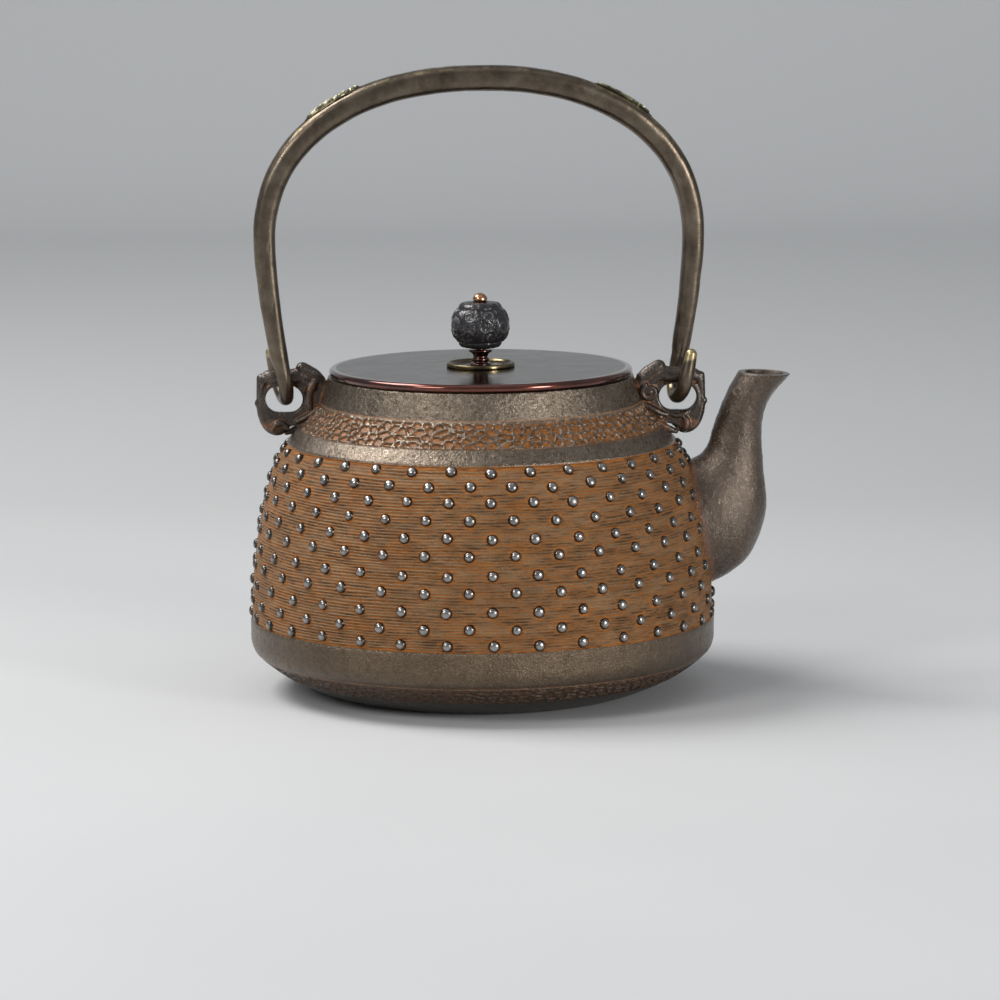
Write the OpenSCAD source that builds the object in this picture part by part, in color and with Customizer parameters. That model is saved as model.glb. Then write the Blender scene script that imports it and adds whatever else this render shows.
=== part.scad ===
// Cast iron tea kettle: hollow studded body, curved spout, swing handle hooked
// through two scroll lugs, and a loose copper lid with a turning knob bead.
// Millimetres. The origin is the centre of the flat base, +Z is up, the spout points to +X.

/* [Kettle body] */
// Radius of the flat base that the kettle stands on
base_r = 54; // [50:0.5:56]
// Largest radius of the body, at the smooth band above the base
belly_r = 82.9; // [81.5:0.1:85]
// Height where the smooth band ends and the studded wall begins
stud_wall_z = 26.6; // [22:0.1:28]
// Thickness of the iron wall
wall = 3; // [2:0.1:3.6]
// Radius where the shoulder cone meets the collar
collar_base_r = 57.3; // [56:0.1:60]
// Outer radius of the collar at the mouth
collar_top_r = 54.6; // [54:0.1:55.8]
// Height of the mouth, where the lid rests
mouth_z = 113; // [111.5:0.1:115]
// Radius of the mouth opening
mouth_r = 48; // [46:0.1:49]

/* [Spout] */
// Thickness of the spout wall
spout_wall = 2.5; // [1.8:0.1:3]
// Half the spout's thickness across, at its root
spout_root_half = 15; // [13:0.5:18]
// Half the spout's thickness across, at its lip
spout_lip_half = 9.4; // [8:0.1:11]
// Half the width of the slot through the body wall into the spout
port_half = 9; // [6:0.5:10]

/* [Lugs] */
// Distance of each hooked arm from the kettle's axis
pivot_x = 71.6; // [71.4:0.1:71.9]
// Height of the hooked arms, the line that the handle swings about
pivot_z = 112.6; // [112.2:0.1:113]
// Radius of the round arm inside each hook
arm_r = 3.1; // [2.6:0.1:3.4]
// Thickness of a lug from front to back
lug_depth = 6.6; // [5:0.1:7]

/* [Handle] */
// Half the width of the handle, at its widest
bail_half = 76.8; // [76:0.1:78]
// Height of the handle's widest place
bail_wide_z = 161.6; // [155:0.1:168]
// Height of the middle of the handle's top
bail_top_z = 219; // [214:0.5:226]
// How squarely the handle's corners are bent
bail_square = 2.22; // [2:0.01:2.6]
// How far each leg leans in from the widest place to the pivot
leg_lean = 6.2; // [6:0.1:6.4]
// Half the thickness of the bar at the top
bar_half_top = 4.6; // [3.8:0.1:5.4]
// Half the thickness of the bar just above the hooks
bar_half_low = 3.1; // [2.9:0.1:3.2]
// Radius of the rod that the hooks are bent from
hook_rod_r = 2.6; // [2.2:0.1:2.6]
// Radius of the hook's bend, at the middle of the rod
hook_bend_r = 7.8; // [7.6:0.1:8]

/* [Lid] */
// Radius of the lid at its rolled rim
lid_r = 54.3; // [53:0.1:55.5]
// Height of the rolled rim
rim_h = 3.1; // [2.4:0.1:4]
// Thickness of the lid's plate
plate_t = 1.8; // [1.2:0.1:2]
// Gap between the lid's inner ring and the mouth
ring_gap = 0.6; // [0.4:0.1:1.5]
// How far the inner ring reaches below the plate
ring_h = 9; // [5:0.5:12]

/* [Knob] */
// Radius of the brass dish under the knob
dish_r = 12.2; // [10:0.1:14]
// Height of the turned stem
stem_h = 5.6; // [4:0.1:8]
// Largest radius of the carved bead
bead_r = 10.6; // [9:0.1:12]
// Height of the carved bead
bead_h = 17.5; // [15:0.1:20]
// Radius of the pin through the knob
pin_r = 1.3; // [1:0.05:1.5]
// Gap between the pin and the bead that turns on it
pin_gap = 0.05; // [0.03:0.01:0.1]

/* [Hidden] */
$fn = 96;

iron = "#4a4038";
lug_iron = "#3b342e";
copper = "#6b3a2c";
brass = "#8a6e3c";
bead_black = "#2b2b2e";
pin_copper = "#b0704a";
bronze = "#5a4a35";
overlay_gold = "#7d6a3a";
silver = "#b8b4a8";

// Body profile: tangent angles are measured from the horizontal below the belly and
// from the vertical above it
foot_angle = 13;
bowl_angle = 41.2;
bowl_r = 60;
wall_bend_r = 185;
wall_angle = 16.3;
shoulder_r = 28.7;
shoulder_angle = 41.3;
outer_steps = 10;
inner_steps = 5;
arc_gap = 4;
bowl_c = [base_r - bowl_r * sin(foot_angle), bowl_r * cos(foot_angle)];
bowl_end_r = bowl_c[0] + bowl_r * sin(bowl_angle);
corner_r = (belly_r - bowl_end_r) / (1 - sin(bowl_angle));
corner_c = [belly_r - corner_r, bowl_c[1] - bowl_r * cos(bowl_angle) + corner_r * cos(bowl_angle)];
wall_c = [belly_r - wall_bend_r, stud_wall_z];
shoulder_c = wall_c + (wall_bend_r - shoulder_r) * [cos(wall_angle), sin(wall_angle)];
shoulder_end = shoulder_c + shoulder_r * [cos(shoulder_angle), sin(shoulder_angle)];
collar_base_z = shoulder_end[1] + (shoulder_end[0] - collar_base_r) / tan(shoulder_angle);
collar_angle = atan2(collar_base_r - collar_top_r, mouth_z - collar_base_z);
mouth_lip_h = 3;
// Length of a cutter that runs right through a part
through = 150;

// Spout: each station has the x and z of its upper edge, the x and z of its lower edge
// and its half width as a share of the way from the root's to the lip's
spout_stations = [
    [68.0, 80.0, 76.5, 37.0, 0.00],
    [73.6, 81.5, 82.5, 37.4, 0.00],
    [78.6, 84.0, 95.5, 46.5, 0.25],
    [81.4, 88.0, 102.0, 63.0, 0.75],
    [83.0, 93.5, 101.0, 80.0, 1.12],
    [85.6, 100.5, 100.6, 95.0, 1.18],
    [88.6, 107.5, 103.6, 104.2, 1.12],
    [92.0, 113.4, 110.6, 112.4, 1.00]];
spout_steps = 3;
spout_sides = 28;
port_z = [51, 66];
port_x = [60, 90];
// How the hollow runs on past the spout's ends: added to its first and last stations
hollow_start = [-3, 0, -3, 0, 0];
hollow_end = [2, 6, 2.6, 6, 0];

// Lugs, drawn as the right one
lug_outline = [
    [50, 109], [54, 112.4], [59.6, 113.6], [63.2, 116.4], [65.2, 118.6], [66.1, 118.2], [67, 115.4],
    [67.3, pivot_z], [75.6, pivot_z], [76, 115.2], [78.6, 113.8], [80.2, 110.6], [79.3, 107.2],
    [80.5, 104.2], [79.4, 99.4], [77.8, 95], [75.6, 92.4], [72.6, 91.8], [69.6, 93.8], [66.6, 94.6],
    [64, 92.5], [58, 92]];
eye_r = 4.65;
eye_z = 104.85;
eye_x = [68.5, 72.3];
arm_x = [66, 77.5];
taper_x = [73.5, 77];
taper_depth = 4;
// Room above the eye where only the arm is left, for the hook
arm_room_x = [67.4, 75.4];
arm_room_h = 20;

// Handle
bail_yaw = 6.03;
hook_yaw = 13;
hook_tilt = 12;
hook_tip_h = 8.6;
hook_tip_round = 1.9;
shank_stub_h = 9;
bail_low_z = pivot_z + 5;
bail_leg_steps = 12;
bail_arch_steps = 20;
bail_sides = 16;
bar_square = 2.6;
bar_depth_share = 1.08;
overlay_u = [40, 59];
overlay_depth = 6.4;
overlay_proud = 1.2;
overlay_sunk = 0.8;
overlay_steps = 8;
inlay_u = [-25, -17.5, -10, 10, 17.5, 25];
inlay_length = 5;
inlay_width = 1.6;
inlay_proud = 0.15;
inlay_sunk = 0.5;
plate_end = 0.45;
plate_flat = 0.7;
plate_bevel = 0.3;

// Lid and knob
ring_t = 1.2;
lid_top_z = mouth_z + rim_h;
plate_under_z = lid_top_z - plate_t;
dish_floor = 0.5;
dish_rim_h = 1.6;
dish_rim_w = 1.3;
stem_z = lid_top_z + dish_floor;
bead_end_gap = 0.1;
bead_z = stem_z + stem_h + bead_end_gap;
bead_cap_r = 7.9;
bead_pole_r = 3.6;
bead_square = 2.3;
// Share of the bead's height where the bulge ends and each cap begins
bulge_share = 0.68;
cap_share = 0.7;
bulge_steps = 8;
// Stem profile: each radius and its share of the stem's height
stem_shape = [
    [3.6, 0], [3.6, 0.14], [2.7, 0.2], [2.9, 0.27], [3.02, 0.36], [2.9, 0.45], [2.6, 0.54], [2.9, 0.7],
    [3.7, 0.84], [4.2, 0.9], [4.2, 1]];
head_z = bead_z + bead_h + bead_end_gap;
head_r = 2.6;
head_h = 2.6;
washer_r = 5;
washer_t = 1;
tail_r = 2.2;
tail_h = 0.9;

// Point on a circle at an angle from the r axis
function polar(c, r, a) = c + r * [cos(a), sin(a)];

// Arc of points about a centre from one angle to another
function arc(c, r, from, to, steps) = [for (i = [0:steps]) polar(c, r, from + (to - from) * i / steps)];

// Corner of two straight walls moved inwards by a distance
function inset_corner(p, a1, a2, inset) =
    p - inset * ([cos(a1), sin(a1)] + [cos(a2), sin(a2)]) / (1 + cos(a1 - a2));

// Wall profile of the body, from the foot up to the collar, moved inwards by inset
function wall_profile(inset, steps) = concat(
    arc(bowl_c, bowl_r - inset, foot_angle - 90, bowl_angle - 90, steps),
    arc(corner_c, corner_r - inset, bowl_angle - 90 + arc_gap, 0, steps),
    arc(wall_c, wall_bend_r - inset, 0, wall_angle, steps),
    arc(shoulder_c, shoulder_r - inset, wall_angle + arc_gap, shoulder_angle, steps),
    [inset_corner([collar_base_r, collar_base_z], shoulder_angle, collar_angle, inset)]);

// Catmull-Rom blend between b and c
function blend(a, b, c, d, t) =
    0.5 * (2 * b + (c - a) * t + (2 * a - 5 * b + 4 * c - d) * t * t + (3 * b - a - 3 * c + d) * t * t * t);

function station(i) = spout_stations[max(0, min(len(spout_stations) - 1, i))];

// Spout stations with blended ones between them
spout_line = concat(
    [for (i = [0:len(spout_stations) - 2], s = [0:spout_steps - 1])
        blend(station(i - 1), station(i), station(i + 1), station(i + 2), s / spout_steps)],
    [station(len(spout_stations) - 1)]);

// One oval ring of the spout, made thinner by inset
function spout_ring(s, inset) =
    let (high = [s[0], 0, s[1]], low = [s[2], 0, s[3]], mid = (high + low) / 2,
         half = norm(low - high) / 2, along = (low - high) / norm(low - high),
         across = spout_root_half + (spout_lip_half - spout_root_half) * s[4])
    [for (k = [0:spout_sides - 1])
        mid + (half - inset) * cos(360 * k / spout_sides) * along
        - [0, (across - inset) * sin(360 * k / spout_sides), 0]];

// Middle line of the bail, as [u, z]: the right leg, the arch and the left leg
function leg_u(z) = bail_half - leg_lean * pow((bail_wide_z - z) / (bail_wide_z - pivot_z), 1.5);
function arch_point(a) =
    [bail_half * sign(cos(a)) * pow(abs(cos(a)), 2 / bail_square),
     bail_wide_z + (bail_top_z - bail_wide_z) * pow(sin(a), 2 / bail_square)];
function leg_line(side) =
    [for (i = [0:bail_leg_steps - 1])
        let (z = bail_low_z + (bail_wide_z - bail_low_z) * i / bail_leg_steps) [side * leg_u(z), z]];
bail_line = concat(
    leg_line(1),
    [for (i = [0:bail_arch_steps * 2]) arch_point(90 * i / bail_arch_steps)],
    [for (i = [bail_leg_steps - 1:-1:0]) leg_line(-1)[i]]);

// Outward direction of a line of points at point i
function outward(line, i) =
    let (d = line[min(len(line) - 1, i + 1)] - line[max(0, i - 1)]) [d[1], -d[0]] / norm(d);

// Half the bar's thickness at a height
function bar_half(z) =
    bar_half_low + (bar_half_top - bar_half_low) * pow((z - bail_low_z) / (bail_top_z - bail_low_z), 0.8);

// Side of a rounded square section at an angle
function squarish(a, n) = sign(a) * pow(abs(a), 2 / n);

// One ring of the bail about its middle line
function bail_ring(i) =
    let (p = bail_line[i], o = outward(bail_line, i), h = bar_half(p[1]))
    [for (k = [0:bail_sides - 1])
        let (a = 360 * k / bail_sides, n = h * squarish(cos(a), bar_square),
             y = -h * bar_depth_share * squarish(sin(a), bar_square))
        [p[0] + n * o[0], y, p[1] + n * o[1]]];

// Closed skin through equal rings, with flat ends
module skin(rings) {
    m = len(rings[0]);
    n = len(rings);
    sides = [for (i = [0:n - 2], k = [0:m - 1]) each [
        [i * m + k, i * m + (k + 1) % m, (i + 1) * m + k],
        [i * m + (k + 1) % m, (i + 1) * m + (k + 1) % m, (i + 1) * m + k]]];
    ends = [[for (k = [m - 1:-1:0]) k], [for (k = [0:m - 1]) (n - 1) * m + k]];
    polyhedron([for (r = rings) each r], concat(sides, ends), convexity = 8);
}

// Revolved profile with a hole of radius bore
module turned(profile, bore) {
    difference() {
        rotate_extrude() polygon(profile);
        if (bore > 0)
            cylinder(r = bore, h = 2 * through, $fn = 48);
    }
}

// The body's whole outer shape, as a solid
module body_solid() {
    rotate_extrude() polygon(concat([[0, 0]], wall_profile(0, outer_steps), [[collar_top_r, mouth_z], [0, mouth_z]]));
}

module kettle_body() {
    lip_z = mouth_z - mouth_lip_h;
    inside_r = collar_top_r - wall + (collar_base_r - collar_top_r) * mouth_lip_h / (mouth_z - collar_base_z);
    color(iron) difference() {
        body_solid();
        rotate_extrude()
            polygon(concat([[0, wall]], wall_profile(wall, inner_steps), [[inside_r, lip_z], [0, lip_z]]));
        translate([0, 0, lip_z - 1]) cylinder(r = mouth_r, h = mouth_lip_h + 2);
        spout_port();
    }
}

// Slot through the body wall into the spout
module spout_port() {
    depth = port_x[1] - port_x[0];
    for (z = port_z)
        translate([port_x[0], 0, z]) rotate([0, 90, 0]) cylinder(r = port_half, h = depth, $fn = 48);
    translate([port_x[0], -port_half, port_z[0]]) cube([depth, 2 * port_half, port_z[1] - port_z[0]]);
}

module spout() {
    inner_line = concat(
        [spout_line[0] + hollow_start],
        spout_line,
        [spout_line[len(spout_line) - 1] + hollow_end]);
    color(iron) difference() {
        skin([for (s = spout_line) spout_ring(s, 0)]);
        skin([for (s = inner_line) spout_ring(s, spout_wall)]);
        body_solid();
    }
}

module lug() {
    difference() {
        union() {
            difference() {
                rotate([90, 0, 0]) translate([0, 0, -lug_depth / 2]) linear_extrude(lug_depth) lug_shape();
                for (side = [0, 1])
                    mirror([0, side, 0]) linear_extrude(through) polygon([
                        [taper_x[0], lug_depth / 2], [taper_x[1], taper_depth / 2],
                        [through, taper_depth / 2], [through, lug_depth], [taper_x[0], lug_depth]]);
                translate([arm_room_x[0], -lug_depth, eye_z])
                    cube([arm_room_x[1] - arm_room_x[0], 2 * lug_depth, arm_room_h]);
            }
            translate([arm_x[0], 0, pivot_z]) rotate([0, 90, 0])
                cylinder(r = arm_r, h = arm_x[1] - arm_x[0], $fn = 48);
        }
        body_solid();
    }
}

// Outline of a lug with its eye
module lug_shape() {
    difference() {
        polygon(lug_outline);
        for (x = eye_x)
            translate([x, eye_z]) circle(eye_r, $fn = 48);
        translate([eye_x[0], eye_z - eye_r]) square([eye_x[1] - eye_x[0], 2 * eye_r]);
    }
}

module lug_right() {
    color(lug_iron) lug();
}

module lug_left() {
    color(lug_iron) rotate([0, 0, 180]) lug();
}

module lid_plate() {
    rim_r = rim_h / 2;
    rim_c = [lid_r - rim_r, mouth_z + rim_r];
    profile = concat(
        [[0, plate_under_z], [mouth_r - ring_gap + 0.2, plate_under_z], [mouth_r - ring_gap + 0.2, mouth_z]],
        arc(rim_c, rim_r, -90, 90, 12),
        [[0, lid_top_z]]);
    color(copper) turned(profile, pin_r);
}

module lid_ring() {
    outer = mouth_r - ring_gap;
    color(copper) translate([0, 0, plate_under_z - ring_h]) difference() {
        cylinder(r = outer, h = ring_h);
        translate([0, 0, -1]) cylinder(r = outer - ring_t, h = ring_h + 2);
    }
}

module knob_dish() {
    rim_mid = dish_r - dish_rim_w / 2;
    rim_top = lid_top_z + dish_rim_h - dish_rim_w / 2;
    profile = concat(
        [[0, lid_top_z], [dish_r, lid_top_z]],
        arc([rim_mid, rim_top], dish_rim_w / 2, 0, 180, 8),
        [[dish_r - 2 * dish_rim_w, stem_z], [0, stem_z]]);
    color(brass) turned(profile, pin_r);
}

// The stem is a spool: foot, bulge, waist and a wide top flange
module knob_stem() {
    profile = concat(
        [[0, stem_z]],
        [for (p = stem_shape) [p[0], stem_z + p[1] * stem_h]],
        [[0, stem_z + stem_h]]);
    color(copper) turned(profile, pin_r);
}

// The bead bulges between two stepped caps
module knob_bead() {
    mid = bead_z + bead_h / 2;
    bulge = [for (i = [-bulge_steps:bulge_steps])
        let (t = bulge_share * i / bulge_steps)
        [bead_r * pow(1 - pow(abs(t), bead_square), 1 / bead_square), mid + t * bead_h / 2]];
    cap = [for (i = [0:6])
        let (a = 15 * i)
        [bead_pole_r + (bead_cap_r - bead_pole_r) * cos(a),
         (cap_share + (1 - cap_share) * sin(a)) * bead_h / 2]];
    profile = concat(
        [[0, bead_z]],
        [for (i = [6:-1:0]) [cap[i][0], mid - cap[i][1]]],
        bulge,
        [for (p = cap) [p[0], mid + p[1]]],
        [[0, bead_z + bead_h]]);
    color(bead_black) turned(profile, pin_r + pin_gap);
}

// Copper pin with a domed head above the bead and a hammered tail under the washer
module knob_pin() {
    tail_z = plate_under_z - washer_t;
    head = [for (a = [0:10:90]) [head_r * cos(a), head_z + head_h * sin(a)]];
    profile = concat(
        [[0, tail_z - tail_h], [tail_r, tail_z - tail_h], [tail_r, tail_z], [pin_r, tail_z], [pin_r, head_z]],
        head);
    color(pin_copper) rotate_extrude() polygon(profile);
}

module knob_washer() {
    color(pin_copper) translate([0, 0, plate_under_z - washer_t]) difference() {
        cylinder(r = washer_r, h = washer_t, $fn = 48);
        translate([0, 0, -1]) cylinder(r = pin_r, h = washer_t + 2, $fn = 48);
    }
}

// Rod with a rounded end, standing on the xy plane
module rounded_rod(r, h, round) {
    profile = concat([[0, 0], [r, 0]], arc([r - round, h - round], round, 0, 90, 8), [[0, h]]);
    rotate_extrude($fn = 48) polygon(profile);
}

// Right hook: the shank comes down behind the arm, the bend goes under it, the tip stands in front
module hook() {
    translate([pivot_x, 0, pivot_z]) rotate([0, hook_tilt, hook_yaw]) {
        rotate([90, 0, 90]) rotate([0, 0, 180]) rotate_extrude(angle = 180)
            translate([hook_bend_r, 0]) circle(hook_rod_r, $fn = 48);
        translate([0, hook_bend_r, 0]) cylinder(r = hook_rod_r, h = shank_stub_h, $fn = 48);
        translate([0, -hook_bend_r, 0]) rounded_rod(hook_rod_r, hook_tip_h, hook_tip_round);
    }
}

module handle_bail() {
    color(bronze) {
        rotate([0, 0, bail_yaw]) skin([for (i = [0:len(bail_line) - 1]) bail_ring(i)]);
        hook();
        rotate([0, 0, 180]) hook();
    }
}

// Plate laid along the bail's outer face between two distances from the middle. Its ends
// are narrower and lower than its middle, and its long edges are bevelled.
module face_plate(from, to, depth, proud, sunk, steps) {
    line = [for (i = [0:steps]) let (u = from + (to - from) * i / steps) [u, arch_height(u)]];
    rings = [for (i = [0:steps])
        let (p = line[i], o = -sign(to - from) * outward(line, i), h = bar_half(p[1]),
             end = 1 - plate_end * pow(abs(2 * i / steps - 1), 4), y = depth / 2 * end, t = h + proud * end,
             flat_y = plate_flat * y, edge = t - plate_bevel)
        [for (q = [[h - sunk, -y], [h - sunk, y], [edge, y], [t, flat_y], [t, -flat_y], [edge, -y]])
            [p[0] + q[0] * o[0], q[1], p[1] + q[0] * o[1]]]];
    skin(rings);
}

// Height of the bail's middle line above a place along u
function arch_height(u) =
    bail_wide_z + (bail_top_z - bail_wide_z) * pow(1 - pow(abs(u) / bail_half, bail_square), 1 / bail_square);

module overlay_right() {
    color(overlay_gold) rotate([0, 0, bail_yaw])
        face_plate(overlay_u[1], overlay_u[0], overlay_depth, overlay_proud, overlay_sunk, overlay_steps);
}

module overlay_left() {
    color(overlay_gold) rotate([0, 0, 180 + bail_yaw])
        face_plate(overlay_u[1], overlay_u[0], overlay_depth, overlay_proud, overlay_sunk, overlay_steps);
}

module handle_inlay() {
    color(silver) rotate([0, 0, bail_yaw])
        for (u = inlay_u)
            face_plate(u + inlay_length / 2, u - inlay_length / 2, inlay_width, inlay_proud, inlay_sunk, 4);
}

kettle_body();
spout();
lug_left();
lug_right();
lid_plate();
lid_ring();
knob_dish();
knob_stem();
knob_bead();
knob_pin();
knob_washer();
handle_bail();
overlay_left();
overlay_right();
handle_inlay();
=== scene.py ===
import math

import bpy
import numpy as np
from mathutils import Matrix, Vector


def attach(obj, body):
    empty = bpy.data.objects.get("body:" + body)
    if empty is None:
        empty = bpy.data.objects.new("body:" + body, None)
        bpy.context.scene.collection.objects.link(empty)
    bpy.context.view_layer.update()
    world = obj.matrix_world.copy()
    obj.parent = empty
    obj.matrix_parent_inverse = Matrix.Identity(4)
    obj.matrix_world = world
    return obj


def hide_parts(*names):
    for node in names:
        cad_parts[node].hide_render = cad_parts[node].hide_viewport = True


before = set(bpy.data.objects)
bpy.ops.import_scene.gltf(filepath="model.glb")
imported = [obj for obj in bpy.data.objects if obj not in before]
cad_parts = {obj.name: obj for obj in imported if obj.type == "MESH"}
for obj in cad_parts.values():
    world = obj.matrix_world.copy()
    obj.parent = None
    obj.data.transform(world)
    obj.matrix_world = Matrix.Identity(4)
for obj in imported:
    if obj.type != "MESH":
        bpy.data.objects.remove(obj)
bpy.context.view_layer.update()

MM = 0.001
scene = bpy.context.scene

# ---------------------------------------------------------------- camera
CAMERA_TILT = math.radians(8.5)
CAMERA_ROLL = math.radians(0.4)
CAMERA_AT = Vector((6.6, -1775.3, 333.0)) * MM

camera_data = bpy.data.cameras.new("camera")
camera_data.lens = 180
camera_data.sensor_width = 36
camera_data.clip_end = 20
camera = bpy.data.objects.new("camera", camera_data)
scene.collection.objects.link(camera)
scene.camera = camera
ahead = Vector((0, math.cos(CAMERA_TILT), -math.sin(CAMERA_TILT)))
level_up = Vector((0, math.sin(CAMERA_TILT), math.cos(CAMERA_TILT)))
right = math.cos(CAMERA_ROLL) * Vector((1, 0, 0)) - math.sin(CAMERA_ROLL) * level_up
up = math.sin(CAMERA_ROLL) * Vector((1, 0, 0)) + math.cos(CAMERA_ROLL) * level_up
turn = Matrix((right, up, -ahead)).transposed().to_4x4()
camera.matrix_world = Matrix.Translation(CAMERA_AT) @ turn


# ---------------------------------------------------------------- numbers
def hashed(k, seed):
    """Random values from 0 to 1 for whole-number cells k, the same every run."""
    h = (k[..., 0] * 73856093) ^ (k[..., 1] * 19349663) ^ (k[..., 2] * 83492791) ^ (seed * 2654435)
    h = ((h ^ (h >> 13)) * 1274126177) & 0x7FFFFFFF
    return ((h ^ (h >> 15)) & 0xFFFF) / 65535


def cloud(p, size, seed=0):
    """Smooth random values from 0 to 1 at points p. size is one cell size in metres, or one for each axis."""
    q = np.asarray(p, float) / np.asarray(size, float)
    cell = np.floor(q).astype(np.int64)
    f = q - cell
    f = f * f * (3 - 2 * f)
    total = np.zeros(q.shape[:-1])
    for corner in range(8):
        d = np.array([corner & 1, corner >> 1 & 1, corner >> 2 & 1])
        total += hashed(cell + d, seed) * np.prod(np.where(d == 1, f, 1 - f), axis=-1)
    return total


def grain(p, size, seed=0):
    """Rough random values from 0 to 1, of three sizes laid over each other."""
    size = np.asarray(size)
    return (0.55 * cloud(p, size, seed) + 0.3 * cloud(p, size / 2.1, seed + 1)
            + 0.15 * cloud(p, size / 4.3, seed + 2))


def step(x, low, high):
    """0 up to low and 1 from high on, with a smooth change between them. low may be above high."""
    t = np.clip((x - low) / (high - low), 0, 1)
    return t * t * (3 - 2 * t)


def resample(line, spacing):
    """The same line with its points evenly spaced by their first three values. Any further values follow."""
    line = np.asarray(line, float)
    along = np.concatenate([[0], np.cumsum(np.linalg.norm(np.diff(line[:, :3], axis=0), axis=1))])
    n = max(2, int(round(along[-1] / spacing)) + 1)
    at = np.linspace(0, along[-1], n)
    return np.stack([np.interp(at, along, line[:, k]) for k in range(line.shape[1])], axis=1)


def smooth_line(points, n):
    """Catmull-Rom curve through points, with n steps between each two."""
    p = np.asarray(points, float)
    p = np.vstack([2 * p[0] - p[1], p, 2 * p[-1] - p[-2]])
    out = []
    for i in range(1, len(p) - 2):
        for t in np.arange(n) / n:
            out.append(0.5 * (2 * p[i] + (p[i + 1] - p[i - 1]) * t
                              + (2 * p[i - 1] - 5 * p[i] + 4 * p[i + 1] - p[i + 2]) * t * t
                              + (3 * p[i] - p[i - 1] - 3 * p[i + 1] + p[i + 2]) * t ** 3))
    out.append(p[-2])
    return np.array(out)


def angles(m):
    return 2 * math.pi * np.arange(m) / m


def polar(c, r, a):
    """Point at radius r and angle a, in degrees, from c."""
    return [c[0] + r * math.cos(math.radians(a)), c[1] + r * math.sin(math.radians(a))]


def arc(c, r, start, end, n):
    """n + 1 points of an arc, with its angles in degrees."""
    return [polar(c, r, start + (end - start) * i / n) for i in range(n + 1)]


# ---------------------------------------------------------------- meshes
def make_mesh(name, vertices, faces, fields=None, sharp=40):
    """Mesh of quads and triangles. faces is a list of arrays, one for each number of corners."""
    me = bpy.data.meshes.new(name)
    me.vertices.add(len(vertices))
    me.vertices.foreach_set("co", np.asarray(vertices, np.float32).ravel())
    corners = np.concatenate([f.ravel() for f in faces]).astype(np.int32)
    sizes = np.concatenate([np.full(len(f), f.shape[1]) for f in faces]).astype(np.int32)
    starts = np.concatenate([[0], np.cumsum(sizes)[:-1]]).astype(np.int32)
    me.loops.add(len(corners))
    me.loops.foreach_set("vertex_index", corners)
    me.polygons.add(len(sizes))
    me.polygons.foreach_set("loop_start", starts)
    me.polygons.foreach_set("use_smooth", np.ones(len(sizes), bool))
    me.update(calc_edges=True)
    me.validate()
    for key, values in (fields or {}).items():
        field = me.attributes.new(key, "FLOAT", "POINT")
        field.data.foreach_set("value", np.asarray(values, np.float32).ravel())
    me.set_sharp_from_angle(angle=math.radians(sharp))
    return me


def ring_faces(n, m, wrap):
    """Quads between n rings of m points. wrap joins the last ring to the first."""
    i = np.arange(n if wrap else n - 1)[:, None]
    k = np.arange(m)[None, :]
    a, b = i * m, (i + 1) % n * m
    quad = np.stack([a + k, a + (k + 1) % m, b + (k + 1) % m, b + k], axis=-1)
    return quad.reshape(-1, 4)


def end_fans(n, m):
    """Triangles that close both ends of n rings of m points, to two points that come after the rings."""
    k = np.arange(m)
    low = np.stack([np.full(m, n * m), (k + 1) % m, k], axis=-1)
    high = np.stack([np.full(m, n * m + 1), (n - 1) * m + k, (n - 1) * m + (k + 1) % m], axis=-1)
    return np.vstack([low, high])


def with_ends(rings):
    """Vertices and faces of one closed shape through rings of equal length."""
    n, m = rings.shape[:2]
    points = np.vstack([rings.reshape(-1, 3), rings[0].mean(0), rings[-1].mean(0)])
    return points, [ring_faces(n, m, False), end_fans(n, m)]


def rings_mesh(name, rings, wrap=False, fields=None, sharp=40):
    """Closed mesh through rings of equal length: the ends are filled, or joined when wrap is set."""
    rings = np.asarray(rings, float)
    fields = {k: np.asarray(v, float).ravel() for k, v in (fields or {}).items()}
    if wrap:
        points, faces = rings.reshape(-1, 3), [ring_faces(*rings.shape[:2], True)]
    else:
        points, faces = with_ends(rings)
        fields = {key: np.concatenate([v, [v[0], v[-1]]]) for key, v in fields.items()}
    return make_mesh(name, points, faces, fields, sharp)


def turned(profile, columns, rise=None):
    """Rings of a profile turned round Z. rise moves each point out along the profile's normal."""
    profile = np.asarray(profile, float)
    d = np.gradient(profile, axis=0)
    normal = np.stack([d[:, 1], -d[:, 0]], axis=1)
    normal /= np.linalg.norm(normal, axis=1)[:, None] + 1e-12
    a = angles(columns)
    r = np.repeat(profile[:, :1], columns, axis=1)
    z = np.repeat(profile[:, 1:], columns, axis=1)
    if rise is not None:
        r = r + rise * normal[:, :1]
        z = z + rise * normal[:, 1:]
    return np.stack([r * np.cos(a), r * np.sin(a), z], axis=-1)


def turned_mesh(name, line, relief, rise=None, wrap=True, sharp=50):
    """Mesh of a turned line, with relief and rise for each of its points."""
    return rings_mesh(name, turned(line, relief.shape[1], rise), wrap, {"relief": relief}, sharp)


def sweep(line, across, section, n):
    """Rings along a line. section(i, a) gives how far out and across ring i reaches at the angles a."""
    line = np.asarray(line, float)
    d = np.gradient(line, axis=0)
    d /= np.linalg.norm(d, axis=1)[:, None]
    a = angles(n)
    side = np.asarray(across, float)
    rings = []
    for i, p in enumerate(line):
        side = side - d[i] * (side @ d[i])
        side /= np.linalg.norm(side)
        out = np.cross(side, d[i])
        u, v = section(i, a)
        rings.append(p + u[:, None] * out + v[:, None] * side)
    return np.array(rings)


def add_piece(name, me, body, nodes, material):
    """Put a mesh into the scene as a piece that rides on a body and replaces the looks of some nodes."""
    ob = bpy.data.objects.new(name, me)
    scene.collection.objects.link(ob)
    me.materials.clear()
    me.materials.append(material)
    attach(ob, body)
    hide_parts(*nodes)


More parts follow.
